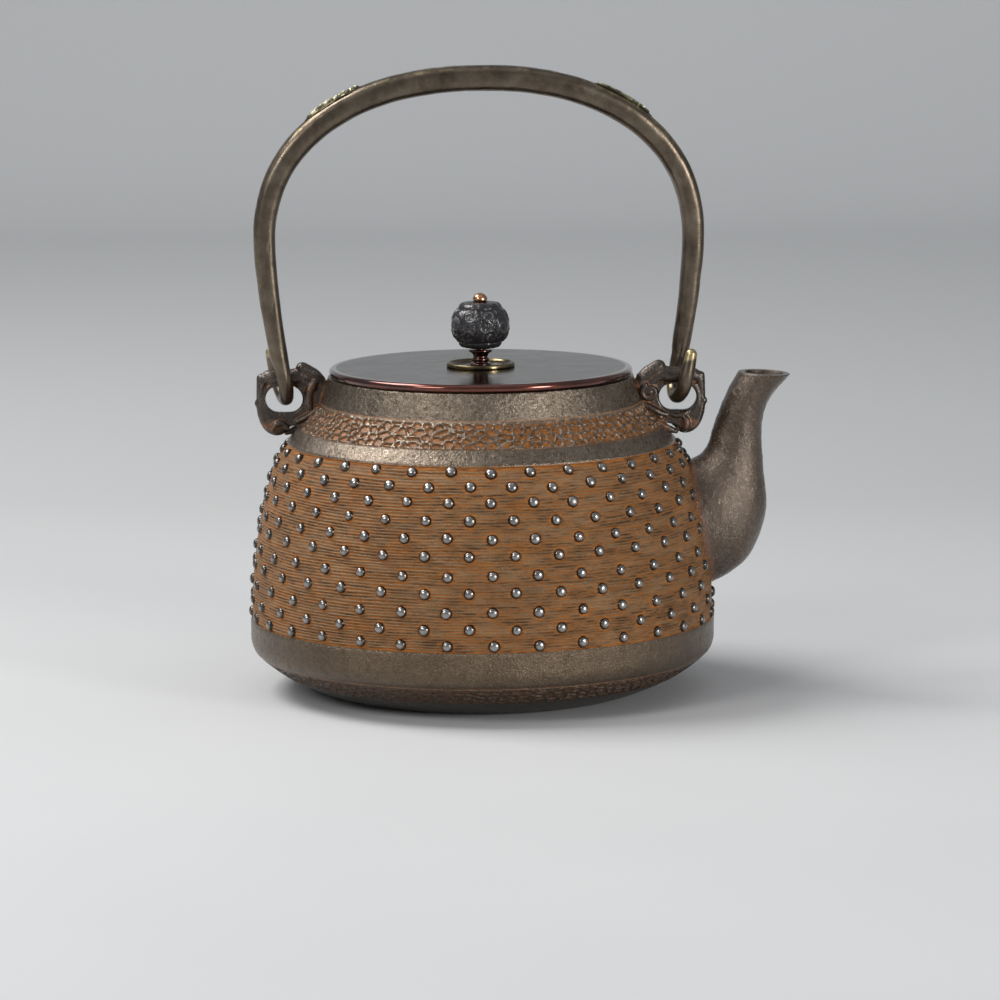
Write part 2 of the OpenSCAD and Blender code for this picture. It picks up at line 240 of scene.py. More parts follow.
def joined(meshes):
    """One mesh's vertices and faces from several (vertices, list of face arrays)."""
    points, quads, triangles, base = [], [], [], 0
    for v, faces in meshes:
        points.append(v)
        for f in faces:
            (quads if f.shape[1] == 4 else triangles).append(f + base)
        base += len(v)
    return np.vstack(points), [np.vstack(g) for g in (quads, triangles) if g]


def ball(centre, radii, n=14):
    """Vertices and faces of an ellipsoid."""
    a = angles(2 * n)
    t = math.pi * (np.arange(1, n) / n - 0.5)
    level = np.repeat(np.sin(t)[:, None], 2 * n, 1)
    rings = np.stack([np.cos(t)[:, None] * np.cos(a), np.cos(t)[:, None] * np.sin(a), level], -1)
    v = np.vstack([rings.reshape(-1, 3), [[0, 0, -1], [0, 0, 1]]]) * np.asarray(radii) + np.asarray(centre)
    return v, [ring_faces(n - 1, 2 * n, False), end_fans(n - 1, 2 * n)]


def rounded_ends(line, r, degrees, reach_first, reach_last):
    """A line and its radii, carried on at both ends over a rounded tip."""
    first, last = line[0] - line[1], line[-1] - line[-2]
    first, last = first / np.linalg.norm(first), last / np.linalg.norm(last)
    turnover = np.radians(degrees)
    line = np.vstack([[line[0] + first * reach_first * math.sin(t) for t in turnover], line,
                      [line[-1] + last * reach_last * math.sin(t) for t in turnover[::-1]]])
    return line, np.concatenate([r[0] * np.cos(turnover), r, r[-1] * np.cos(turnover[::-1])])


def tube(points, radii, n=16, steps=6):
    """Vertices and faces of a round rod through points, with rounded ends."""
    table = smooth_line(np.column_stack([points, radii]), steps)
    line, r = rounded_ends(table[:, :3], table[:, 3], (75, 50, 25), table[0, 3], table[-1, 3])
    return with_ends(sweep(line, (0.13, 0.91, 0.07), lambda i, a: (r[i] * np.cos(a), r[i] * np.sin(a)), n))


# ---------------------------------------------------------------- materials
class Nodes:
    """A material's node tree, with short calls for the nodes used here."""

    def __init__(self, name):
        self.material = bpy.data.materials.new(name)
        self.material.use_nodes = True
        self.tree = self.material.node_tree
        self.tree.nodes.clear()
        self.coordinates = self.add("ShaderNodeTexCoord").outputs["Object"]

    def add(self, kind, **values):
        node = self.tree.nodes.new(kind)
        for key, value in values.items():
            setattr(node, key, value)
        return node

    def put(self, socket, value):
        if isinstance(value, bpy.types.NodeSocket):
            self.tree.links.new(value, socket)
        else:
            socket.default_value = value

    def noise(self, scale, detail=4, rough=0.6, stretch=None):
        """Noise value. stretch scales the three axes on their own before scale does."""
        at = self.coordinates
        if stretch is not None:
            mapping = self.add("ShaderNodeMapping")
            self.put(mapping.inputs["Vector"], at)
            mapping.inputs["Scale"].default_value = stretch
            at = mapping.outputs["Vector"]
        node = self.add("ShaderNodeTexNoise")
        self.put(node.inputs["Vector"], at)
        node.inputs["Scale"].default_value = scale
        node.inputs["Detail"].default_value = detail
        node.inputs["Roughness"].default_value = rough
        return node.outputs["Fac"]

    def axis(self, letter):
        """One of the object's own coordinates, in metres."""
        split = self.add("ShaderNodeSeparateXYZ")
        self.put(split.inputs["Vector"], self.coordinates)
        return split.outputs[letter]

    def attribute(self, name):
        return self.add("ShaderNodeAttribute", attribute_name=name).outputs["Fac"]

    def span(self, value, low, high, to_low=0.0, to_high=1.0):
        """value moved from the range low to high onto to_low to to_high, and kept inside it."""
        node = self.add("ShaderNodeMapRange")
        sockets = ("Value", "From Min", "From Max", "To Min", "To Max")
        for key, v in zip(sockets, (value, low, high, to_low, to_high)):
            self.put(node.inputs[key], v)
        return node.outputs["Result"]

    def math(self, operation, a, b, clamp=False):
        node = self.add("ShaderNodeMath", operation=operation, use_clamp=clamp)
        self.put(node.inputs[0], a)
        self.put(node.inputs[1], b)
        return node.outputs[0]

    def mix(self, share, a, b, blend="MIX"):
        node = self.add("ShaderNodeMix", data_type="RGBA", blend_type=blend)
        self.put(node.inputs["Factor"], share)
        self.put(node.inputs["A"], a if isinstance(a, bpy.types.NodeSocket) else (*a, 1))
        self.put(node.inputs["B"], b if isinstance(b, bpy.types.NodeSocket) else (*b, 1))
        return node.outputs["Result"]

    def bump(self, height, distance, strength):
        node = self.add("ShaderNodeBump")
        node.inputs["Strength"].default_value = strength
        node.inputs["Distance"].default_value = distance
        self.put(node.inputs["Height"], height)
        return node.outputs["Normal"]

    def finish(self, color, roughness, metallic, normal, specular=0.5, coat=0.0, coat_rough=0.2):
        shader = self.add("ShaderNodeBsdfPrincipled")
        self.put(shader.inputs["Base Color"], color)
        self.put(shader.inputs["Roughness"], roughness)
        self.put(shader.inputs["Metallic"], metallic)
        if normal is not None:
            self.put(shader.inputs["Normal"], normal)
            self.put(shader.inputs["Coat Normal"], normal)
        shader.inputs["Specular IOR Level"].default_value = specular
        shader.inputs["Coat Weight"].default_value = coat
        shader.inputs["Coat Roughness"].default_value = coat_rough
        out = self.add("ShaderNodeOutputMaterial")
        self.put(out.inputs["Surface"], shader.outputs["BSDF"])
        return self.material


def iron_field():
    """The combed wall: olive-brown ridges, dark and orange lines between them."""
    n = Nodes("iron_field")
    relief, rust = n.attribute("relief"), n.attribute("rust")
    broad = n.noise(38, 3, 0.6)
    streak = n.noise(1, 5, 0.65, stretch=(90, 90, 500))
    short = n.noise(1, 4, 0.7, stretch=(240, 240, 1500))
    fine = n.noise(2400, 3, 0.7)
    ridge = n.mix(n.span(streak, 0.34, 0.64), (0.150, 0.080, 0.032), (0.250, 0.140, 0.062))
    ridge = n.mix(n.span(fine, 0.5, 0.8), ridge, (0.38, 0.27, 0.17))
    orange = n.span(n.math("ADD", short, streak), 0.84, 1.08)
    groove = n.mix(orange, (0.045, 0.018, 0.006), (0.38, 0.125, 0.018))
    height = n.math("ADD", relief, n.math("MULTIPLY", n.math("SUBTRACT", short, 0.5), 0.22))
    base = n.mix(n.span(height, 0.18, 0.50), groove, ridge)
    rusty = n.mix(n.span(short, 0.35, 0.6), (0.17, 0.062, 0.013), (0.40, 0.150, 0.026))
    share = n.math("MULTIPLY", rust, n.span(n.noise(700, 4, 0.7), 0.25, 0.6), True)
    base = n.mix(share, base, rusty)
    base = n.mix(n.span(broad, 0.42, 0.72, 0.0, 0.35), base, (0.10, 0.055, 0.028))
    rough = n.span(relief, 0, 1, 0.74, 0.40)
    normal = n.bump(n.math("ADD", fine, short), 0.00030, 0.7)
    return n.finish(base, rough, n.span(relief, 0.35, 1.0, 0.0, 0.35), normal, 0.3)


def iron_band(name, dark, light, glint, rust_color, metallic=0.7, rough=0.36, bumpiness=0.85,
              painted_shade_below=None, coat=0.35):
    """Cast skin with fine grain: dark hollows, silvery glints painted on raised grain as highlights, rust
    where the rust field says, and, when a height is given, painted shade darkening everything below it.
    """
    n = Nodes(name)
    relief, rust = n.attribute("relief"), n.attribute("rust")
    fine = n.noise(1300, 3, 0.6)
    finer = n.noise(3300, 2, 0.6)
    broad = n.noise(55, 4, 0.6)
    raised = n.math("ADD", n.math("MULTIPLY", fine, 0.4), n.math("MULTIPLY", relief, 0.6))
    base = n.mix(n.span(raised, 0.36, 0.66), dark, light)
    # Painted highlight: light glint-coloured specks on the raised grain.
    glints = n.math("MULTIPLY", n.span(finer, 0.50, 0.72), n.span(raised, 0.40, 0.75))
    base = n.mix(glints, base, glint)
    base = n.mix(n.span(broad, 0.42, 0.75, 0.0, 0.5), base, dark)
    rusty = n.mix(n.span(fine, 0.35, 0.62), tuple(0.3 * c for c in rust_color), rust_color)
    share = n.math("MULTIPLY", rust, n.span(n.noise(650, 4, 0.7), 0.2, 0.55), True)
    base = n.mix(share, base, rusty)
    # Painted shade: below the given height, in the shade under the belly's bulge, the colour is darkened to
    # 38 percent.
    if painted_shade_below is not None:
        base = n.mix(n.span(n.axis("Z"), painted_shade_below - 0.002, painted_shade_below + 0.002, 0.38, 1.0), (0, 0, 0), base)
    normal = n.bump(n.math("ADD", fine, n.math("MULTIPLY", finer, 0.3)), 0.0005, bumpiness)
    roughness = n.span(raised, 0.3, 0.7, rough + 0.12, rough - 0.05)
    return n.finish(base, roughness, n.span(rust, 0.0, 0.5, metallic, 0.1), normal, 0.5, coat, 0.24)


def metal(name, tone, deep, wear_and_highlight, rough, metallic=1.0, grain_scale=900, bumpiness=0.25, wear_and_highlight_at=0.62,
          coat=0.0, spread=0.08):
    """Patinated metal: tone and deep mix in patches; a lighter colour shows on raised places, as wear and, on
    the studs' tops and the handle's outer strip, as a painted highlight.
    """
    n = Nodes(name)
    relief = n.attribute("relief")
    patch = n.noise(90, 5, 0.65)
    fine = n.noise(grain_scale, 4, 0.6)
    base = n.mix(n.span(patch, 0.35, 0.65), tone, deep)
    base = n.mix(n.span(fine, 0.35, 0.75, 0.0, 0.3), base, deep)
    uneven = n.math("MULTIPLY", n.math("SUBTRACT", n.noise(300, 4, 0.7), 0.5), 0.5)
    edge = n.math("ADD", relief, uneven)
    # Lighter colour on raised places: wear, and a painted highlight where the relief is raised for it.
    base = n.mix(n.span(edge, wear_and_highlight_at, wear_and_highlight_at + 0.3), base, wear_and_highlight)
    # Low relief is darkened towards a quarter of deep: painted shade at the studs' feet; it also darkens the
    # knob dish's hollow and the bead's carving.
    base = n.mix(n.span(relief, 0.35, 0.05), base, tuple(c * 0.25 for c in deep))
    normal = n.bump(fine, 0.00012, bumpiness)
    roughness = n.span(n.noise(160, 4, 0.6), 0.3, 0.7, rough - spread, rough + spread)
    return n.finish(base, roughness, metallic, normal, 0.5, coat, 0.10)


field_mat = iron_field()
# The foot's band gets painted shade below 13.6 mm, on the lower network under the belly.
band_mat = iron_band("iron_band", (0.044, 0.027, 0.013), (0.108, 0.070, 0.039), (0.32, 0.25, 0.175),
                     (0.40, 0.135, 0.020), painted_shade_below=0.0136)
network_mat = iron_band("iron_network", (0.034, 0.019, 0.009), (0.150, 0.110, 0.074), (0.62, 0.57, 0.50),
                        (0.42, 0.150, 0.018), metallic=0.8, rough=0.27, bumpiness=0.55, coat=0.22)
spout_mat = iron_band("iron_spout", (0.044, 0.027, 0.016), (0.105, 0.074, 0.052), (0.32, 0.27, 0.225),
                      (0.25, 0.085, 0.015), rough=0.30, bumpiness=0.55)
lug_mat = iron_band("iron_lug", (0.022, 0.015, 0.011), (0.070, 0.053, 0.042), (0.18, 0.16, 0.14),
                    (0.34, 0.115, 0.020), metallic=0.75, rough=0.30, bumpiness=0.35)
# Studs: their lighter tops are a painted highlight with some wear, and their dark feet are painted shade.
stud_mat = metal("stud_iron", (0.105, 0.092, 0.08), (0.05, 0.042, 0.035), (0.34, 0.325, 0.31), 0.25,
                 grain_scale=1500, bumpiness=0.45, wear_and_highlight_at=0.60)
lid_mat = metal("lid_copper", (0.082, 0.066, 0.054), (0.056, 0.043, 0.035), (0.16, 0.125, 0.105), 0.17,
                bumpiness=0.10, wear_and_highlight_at=0.9, spread=0.03)
rim_mat = metal("rim_copper", (0.17, 0.036, 0.018), (0.050, 0.012, 0.008), (0.32, 0.11, 0.065), 0.17, 0.95,
                bumpiness=0.08, wear_and_highlight_at=0.85, coat=1.0, spread=0.03)
ring_mat = metal("ring_copper", (0.32, 0.15, 0.095), (0.16, 0.07, 0.045), (0.45, 0.22, 0.14), 0.36,
                 bumpiness=0.2)
dish_mat = metal("dish_brass", (0.26, 0.205, 0.115), (0.085, 0.065, 0.038), (0.62, 0.52, 0.28), 0.28,
                 bumpiness=0.15)
stem_mat = metal("stem_copper", (0.12, 0.045, 0.032), (0.05, 0.018, 0.013), (0.30, 0.14, 0.10), 0.20,
                 bumpiness=0.1, wear_and_highlight_at=0.75, coat=0.6)
pin_mat = metal("pin_copper", (0.62, 0.33, 0.20), (0.42, 0.20, 0.115), (0.80, 0.50, 0.33), 0.22,
                bumpiness=0.15, wear_and_highlight_at=0.8)
bead_mat = metal("bead_black", (0.052, 0.049, 0.053), (0.019, 0.018, 0.020), (0.25, 0.24, 0.255), 0.31, 0.4,
                 bumpiness=0.6, wear_and_highlight_at=0.58, coat=0.3)
handle_mat = metal("handle_bronze", (0.185, 0.150, 0.112), (0.085, 0.066, 0.048), (0.46, 0.365, 0.20),
                   0.33, 0.95, grain_scale=1200, bumpiness=0.35, wear_and_highlight_at=0.64)
overlay_mat = metal("overlay_gilt", (0.30, 0.275, 0.17), (0.12, 0.10, 0.055), (0.58, 0.55, 0.42), 0.34, 0.95,
                    bumpiness=0.3, wear_and_highlight_at=0.55)
inlay_mat = metal("inlay_silver", (0.56, 0.53, 0.46), (0.34, 0.31, 0.25), (0.75, 0.72, 0.66), 0.32, 0.95,
                  bumpiness=0.2)

# ---------------------------------------------------------------- body
BASE_R = 54 * MM
BELLY_R = 82.9 * MM
WALL = 3 * MM
FIELD_LOW_Z = 26.6 * MM
MID_SEAM_Z = 58.0 * MM
MOUTH_Z = 113 * MM
MOUTH_R = 48 * MM
COLLAR_TOP_R = 54.6 * MM
COLLAR_BASE_R = 57.3 * MM
BOWL_R = 60 * MM
WALL_BEND_R = 185 * MM
SHOULDER_R = 28.7 * MM
FOOT_ANGLE, BOWL_ANGLE, WALL_ANGLE, SHOULDER_ANGLE = 13, 41.2, 16.3, 41.3

bowl_c = (BASE_R - BOWL_R * math.sin(math.radians(FOOT_ANGLE)), BOWL_R * math.cos(math.radians(FOOT_ANGLE)))
bowl_end = polar(bowl_c, BOWL_R, BOWL_ANGLE - 90)
corner_r = (BELLY_R - bowl_end[0]) / (1 - math.sin(math.radians(BOWL_ANGLE)))
corner_c = (BELLY_R - corner_r, bowl_end[1] + corner_r * math.cos(math.radians(BOWL_ANGLE)))
wall_c = (BELLY_R - WALL_BEND_R, FIELD_LOW_Z)
shoulder_c = polar(wall_c, WALL_BEND_R - SHOULDER_R, WALL_ANGLE)
field_top = polar(shoulder_c, SHOULDER_R, SHOULDER_ANGLE)
collar_base_z = field_top[1] + (field_top[0] - COLLAR_BASE_R) / math.tan(math.radians(SHOULDER_ANGLE))

lower_line = np.array(arc(bowl_c, BOWL_R, FOOT_ANGLE - 90, BOWL_ANGLE - 90, 60)
                      + arc(corner_c, corner_r, BOWL_ANGLE - 84, 0, 24) + [[BELLY_R, FIELD_LOW_Z]])
wall_line = np.array(arc(wall_c, WALL_BEND_R, 0, WALL_ANGLE, 60)
                     + arc(shoulder_c, SHOULDER_R, WALL_ANGLE + 1, SHOULDER_ANGLE, 30))
upper_line = np.array([list(field_top), [COLLAR_BASE_R + 0.5 * MM, collar_base_z - 0.55 * MM],
                       [COLLAR_BASE_R + 0.05 * MM, collar_base_z],
                       [COLLAR_BASE_R - 0.25 * MM, collar_base_z + 1.0 * MM],
                       [COLLAR_TOP_R, MOUTH_Z - 0.3 * MM]])


def wall_radius(z):
    """Radius of the body's outer surface at a height."""
    line = np.vstack([lower_line, wall_line, upper_line])
    return np.interp(z, line[:, 1], line[:, 0])


def inner_line(line, spacing):
    """The line moved in by the wall's thickness, evenly spaced."""
    d = np.gradient(line, axis=0)
    normal = np.stack([d[:, 1], -d[:, 0]], axis=1)
    normal /= np.linalg.norm(normal, axis=1)[:, None]
    return resample(line - WALL * normal, spacing)


def network(along, across, cell_along, cell_across, count, seed):
    """Irregular network: distance from its lines. along is an angle as a share of the circle."""
    x, y = np.broadcast_arrays(along * count, across / cell_across)
    nearest = np.full(x.shape, 9.0)
    second = nearest.copy()
    column, row = np.floor(x), np.floor(y)
    for di in range(-2, 3):
        for dj in range(-2, 3):
            j = row + dj
            i = column + di
            key = np.stack([i % count, j, np.zeros_like(j)], axis=-1).astype(np.int64)
            px = i + 0.5 + 0.5 * (j % 2) - 0.25 + 0.85 * (hashed(key, seed) - 0.5)
            py = j + 0.5 + 0.75 * (hashed(key, seed + 7) - 0.5)
            bend = 0.78 + 0.5 * hashed(key, seed + 13)
            d = np.hypot((x - px) * cell_along * bend, (y - py) * cell_across * 1.35)
            second = np.minimum(second, np.maximum(nearest, d))
            nearest = np.minimum(nearest, d)
    return second - nearest


def body_part(name, outer, rise, fields, inner, wrap=True, sharp=38):
    """Closed shell between an outer line with relief and a plain inner line."""
    m = rise.shape[1]
    rings = np.vstack([turned(outer, m, rise), turned(inner, m)[::-1]])
    rings[..., 2] = np.maximum(rings[..., 2], 0)
    plain = {"relief": 0.6, "rust": 0.0}
    extra = {k: np.vstack([v, np.full((len(inner), m), plain[k])]) for k, v in fields.items()}
    return rings_mesh(name, rings, wrap, extra, sharp)


def blank(line, columns, relief):
    """Points of a turned line and, for each of them, no rise, an even relief and no rust."""
    points = turned(line, columns)
    shape = points.shape[:2]
    return points, np.zeros(shape), np.full(shape, relief), np.zeros(shape)


# Foot, lower network band and smooth band
BASE_COLUMNS, BASE_NET_CELLS = 960, 118
BASE_NET_ANGLE, BASE_NET_WIDTH = 30.8, 10.5 * MM
foot_line = [[0.3 * MM, 0], [BASE_R - 1.2 * MM, 0], [BASE_R - 0.3 * MM, 0.12 * MM]]
bowl_low = arc(bowl_c, BOWL_R, FOOT_ANGLE - 90, BASE_NET_ANGLE - 90.2, 16)
bowl_net = arc(bowl_c, BOWL_R, BASE_NET_ANGLE - 90, BOWL_ANGLE - 90, 38)
band_line = resample(arc(corner_c, corner_r, BOWL_ANGLE - 88, 0, 24) + [[BELLY_R, FIELD_LOW_Z]], 0.55 * MM)
low_line = np.vstack([foot_line, bowl_low, bowl_net, band_line])
low = slice(len(foot_line), len(foot_line) + len(bowl_low))
net = slice(low.stop, low.stop + len(bowl_net))
band = slice(net.stop, None)

P, rise, relief, rust = blank(low_line, BASE_COLUMNS, 0.72)
rise[low] = 0.12 * MM * (grain(P[low], 1.8 * MM, 6) - 0.5)
t = angles(BASE_COLUMNS)[None, :] / (2 * math.pi)
net_across = np.linspace(0, BASE_NET_WIDTH, len(bowl_net))[:, None]
gap = network(t, net_across, 3.9 * MM, 2.35 * MM, BASE_NET_CELLS, 3)
inside = step(net_across, 0, 0.9 * MM) * (1 - step(net_across, BASE_NET_WIDTH - MM, BASE_NET_WIDTH))
ridge = np.maximum(1 - step(gap, 0.25 * MM, 0.85 * MM), 1 - inside)
rise[net] = (ridge - 0.55) * 0.55 * MM
relief[net] = ridge
rust[net] = (1 - ridge) * 0.75
band_z = low_line[band, 1]
swell = 0.35 * MM * step(band_z, 13.6 * MM, 15.0 * MM) * (1 - step(band_z, 25.5 * MM, FIELD_LOW_Z))
rise[band] = swell[:, None] + 0.24 * MM * (grain(P[band], 1.7 * MM, 5) - 0.5)
relief[band] = 0.45 + 0.55 * grain(P[band], 1.3 * MM, 9)
rust[band] = (1 - step(band_z, 13.3 * MM, 14.2 * MM))[:, None] * 0.8
inner = np.vstack([[[0.3 * MM, WALL]], inner_line(lower_line, 3 * MM)])
base_me = body_part("body_base", low_line, rise, {"relief": relief, "rust": rust}, inner, False)

# Combed wall, in a lower and an upper part
FIELD_IN = 0.35 * MM
COMB_PITCH = 1.05 * MM


def comb(points, height):
    """Irregular lines combed round the wall: 1 on ridges, 0 in grooves."""
    drift = (0.9 * (cloud(points, (40 * MM, 40 * MM, 9 * MM), 21) - 0.5)
             + 0.5 * (cloud(points, (11 * MM, 11 * MM, 3 * MM), 22) - 0.5))
    wave = 0.5 + 0.5 * np.cos(2 * math.pi * (height / COMB_PITCH + drift))
    strength = 0.5 + 0.5 * step(cloud(points, (9 * MM, 9 * MM, 1.6 * MM), 23), 0.2, 0.65)
    rough = cloud(points, (3.6 * MM, 3.6 * MM, 0.7 * MM), 24) - 0.5
    return np.clip(0.55 + 1.1 * (wave - 0.5) * strength + 0.34 * rough, 0, 1)


STUD_R = 1.9 * MM
STUD_H = 1.4 * MM
STUDS_ROUND = 32
STUD_TURN = math.radians(2.8)
STUD_ROWS = [z * MM for z in (28.95, 34.45, 40.4, 47.05, 52.95, 59.8, 65.4, 71.7, 77.65, 83.0, 87.55)]
SPOUT_LOW_Z, SPOUT_HIGH_Z, SPOUT_HALF = 36 * MM, 82.5 * MM, 16.5 * MM


def under_spout(x, y, z):
    """Whether a stud there would be inside the spout's root."""
    half = SPOUT_HALF * (1 - 0.35 * abs(z - 56 * MM) / (28 * MM))
    return x > 0 and abs(y) < half and SPOUT_LOW_Z < z < SPOUT_HIGH_Z


rng = np.random.default_rng(11)
studs = []
for row, z in enumerate(STUD_ROWS):
    for i in range(STUDS_ROUND):
        az = STUD_TURN + 2 * math.pi * (i + 0.5 * (row % 2)) / STUDS_ROUND - math.pi / 2
        height = z + rng.normal(0, 0.22 * MM)
        az += rng.normal(0, 0.2 * MM) / BELLY_R
        r = wall_radius(height) - FIELD_IN
        slope = (wall_radius(height + MM) - wall_radius(height - MM)) / (2 * MM)
        centre = np.array([r * math.cos(az), r * math.sin(az), height])
        if not under_spout(*centre):
            studs.append((centre, az, math.atan(-slope), rng.normal(1, 0.035), rng.normal(1, 0.05)))
stud_centres = np.array([s[0] for s in studs])


def near_studs(points):
    """Distance from each point to the nearest stud's centre, no more than 5 mm."""
    grid = {}
    cell = 5 * MM
    for c in stud_centres:
        key = tuple(np.floor(c / cell).astype(int))
        grid.setdefault(key, []).append(c)
    flat = points.reshape(-1, 3)
    best = np.full(len(flat), cell)
    keys = np.floor(flat / cell).astype(int)
    for key, members in grid.items():
        near = np.all(np.abs(keys - np.array(key)) <= 1, axis=1)
        if near.any():
            for c in members:
                best[near] = np.minimum(best[near], np.linalg.norm(flat[near] - c, axis=1))
    return best.reshape(points.shape[:-1])


def field_part(name, outer, columns):
    """A part of the combed wall, with its joint faces on the lines that it ends on."""
    p = turned(outer, columns)
    lines = comb(p, outer[:, 1][:, None])
    d = near_studs(p)
    flat = step(d, 2.0 * MM, 3.0 * MM)
    edge = 1 - step(outer[:, 1] - FIELD_LOW_Z, 0.0, 0.9 * MM)
    edge += step(outer[:, 1], field_top[1] - 1.3 * MM, field_top[1] - 0.1 * MM)
    edge = np.clip(edge, 0, 1)[:, None]
    rise = -FIELD_IN + (lines - 0.5) * 0.42 * MM * (0.3 + 0.7 * flat) * (1 - 0.8 * edge)
    relief = lines * flat * (1 - edge)
    halo = (1 - step(d, 2.3 * MM, 3.5 * MM)) * (0.35 + 0.5 * cloud(p, 3 * MM, 31))
    rust = np.clip(np.maximum(halo, edge), 0, 1)
    rust = np.maximum(rust, 0.75 * step(cloud(p, (14 * MM, 14 * MM, 7 * MM), 33), 0.72, 0.9))
    return body_part(name, outer, rise, {"relief": relief, "rust": rust}, inner_line(outer, 3 * MM))


wall_fine = resample(wall_line, 0.205 * MM)
seam = int(np.argmin(np.abs(wall_fine[:, 1] - MID_SEAM_Z)))
wall_low_me = field_part("body_wall_low", wall_fine[:seam + 1], 520)
wall_high_me = field_part("body_wall_high", wall_fine[seam:], 520)

# Studs
DOME_SIDES, DOME_ROWS, STUD_SUNK = 24, 9, 1.0 * MM
a = angles(DOME_SIDES)
tilt = np.linspace(0, 1, DOME_ROWS)[:-1]
dome_vertices = []
for centre, az, lean, wide, tall in studs:
    out = np.array([math.cos(az) * math.cos(lean), math.sin(az) * math.cos(lean), math.sin(lean)])
    side = np.array([-math.sin(az), math.cos(az), 0])
    upward = np.cross(out, side)
    reach = STUD_R * wide * np.concatenate([[1.12, 1.04], np.cos(tilt * math.pi / 2) ** 0.9])
    level = np.concatenate([[-STUD_SUNK, 0.0], STUD_H * tall * np.sin(tilt * math.pi / 2) + 0.05 * MM])
    spokes = np.cos(a)[:, None] * side - np.sin(a)[:, None] * upward
    ring = centre + level[:, None, None] * out + reach[:, None, None] * spokes[None]
    tips = [centre - STUD_SUNK * out, centre + (STUD_H * tall + 0.05 * MM) * out]
    dome_vertices.append(np.vstack([ring.reshape(-1, 3), tips]))
stud_rings = len(tilt) + 2
stud_points = len(dome_vertices[0])
quads = ring_faces(stud_rings, DOME_SIDES, False)[:, ::-1]
caps = end_fans(stud_rings, DOME_SIDES)[:, [0, 2, 1]]
all_quads, all_caps = (np.vstack([f + i * stud_points for i in range(len(studs))]) for f in (quads, caps))
# Relief up each dome paints its light: 0 and 0.1 at the foot give painted shade there, and the upper rows
# take the lighter colour as a painted highlight with some wear.
ring_shade_to_highlight = np.concatenate([[0, 0.1], 0.30 + 0.75 * tilt ** 0.8])
stud_shade_to_highlight = np.concatenate([np.repeat(ring_shade_to_highlight, DOME_SIDES), [0, 1.0]])
domes_shade_to_highlight = np.tile(stud_shade_to_highlight, len(studs))
studs_me = make_mesh("studs", np.vstack(dome_vertices), [all_quads, all_caps], {"relief": domes_shade_to_highlight}, 60)

# Shoulder: smooth band, upper network band, collar and mouth
TOP_COLUMNS, TOP_NET_CELLS, TOP_NET_FROM = 1080, 100, 7.3 * MM
cone = np.array([COLLAR_BASE_R - field_top[0], collar_base_z - field_top[1]])
cone_length = np.linalg.norm(cone)
net_end = cone_length - 0.2 * MM
net_width = net_end - TOP_NET_FROM


def on_cone(s):
    """Points of the shoulder's straight side, at distances s from its lower end."""
    return np.array(field_top) + cone * s[:, None] / cone_length


band_line = on_cone(np.arange(0, TOP_NET_FROM, 0.45 * MM))
net_line = on_cone(np.linspace(TOP_NET_FROM, net_end, 38))
collar_line = resample([net_line[-1] + 0.001 * MM, [COLLAR_BASE_R + 0.02 * MM, collar_base_z + 0.15 * MM],
                        [COLLAR_BASE_R - 0.1 * MM, collar_base_z + 0.8 * MM],
                        [COLLAR_TOP_R, MOUTH_Z - 0.25 * MM]], 0.6 * MM)[1:]
mouth_line = [[COLLAR_TOP_R - 0.08 * MM, MOUTH_Z - 0.06 * MM], [COLLAR_TOP_R - 0.3 * MM, MOUTH_Z],
              [MOUTH_R + 0.3 * MM, MOUTH_Z], [MOUTH_R, MOUTH_Z - 0.3 * MM],
              [MOUTH_R, MOUTH_Z - 2.7 * MM], [MOUTH_R + 0.3 * MM, MOUTH_Z - 3 * MM]]
top_line = np.vstack([band_line, net_line, collar_line, mouth_line])
band = slice(0, len(band_line))
net = slice(band.stop, band.stop + len(net_line))
collar = slice(net.stop, net.stop + len(collar_line))

P, rise, relief, rust = blank(top_line, TOP_COLUMNS, 0.7)
s_band = np.linspace(0, TOP_NET_FROM, len(band_line))[:, None]
swell = step(s_band, 0.0, 0.7 * MM) * (1 - step(s_band, TOP_NET_FROM - 0.9 * MM, TOP_NET_FROM))
rise[band] = (0.38 * MM * swell
              + 0.26 * MM * (grain(P[band], 1.5 * MM, 5) - 0.5) * step(s_band, 0.3 * MM, 1.0 * MM))
relief[band] = 0.45 + 0.55 * grain(P[band], 1.1 * MM, 9)
rust[band] = 1 - step(s_band, 0.05 * MM, 0.45 * MM)
rust[band.stop - 1] = 0.5
t = angles(TOP_COLUMNS)[None, :] / (2 * math.pi)
s_net = np.linspace(0, net_width, len(net_line))[:, None]
gap = network(t, s_net, 3.8 * MM, 2.75 * MM, TOP_NET_CELLS, 41)
inside = step(s_net, 0.1 * MM, 0.7 * MM) * (1 - step(s_net, net_width - 0.8 * MM, net_width - 0.15 * MM))
ridge = np.maximum(1 - step(gap, 0.40 * MM, 1.10 * MM), 0.9 * (1 - inside))
rise[net] = (ridge - 0.7) * 0.80 * MM
relief[net] = ridge * (0.75 + 0.25 * grain(P[net], 0.9 * MM, 51))
rust[net] = (1 - ridge) * (0.7 + 0.3 * cloud(P[net], 3 * MM, 52))
rise[collar] = 0.28 * MM * (grain(P[collar], 1.7 * MM, 61) - 0.5)
relief[collar] = 0.45 + 0.5 * grain(P[collar], 1.2 * MM, 62)
rust[collar.start] = 0.6
inner = inner_line(np.array([field_top, [COLLAR_BASE_R, collar_base_z],
                             [COLLAR_TOP_R + 0.1 * MM, MOUTH_Z - 3 * MM]]), 2.5 * MM)
top_me = body_part("body_shoulder", top_line, rise, {"relief": relief, "rust": rust}, inner)

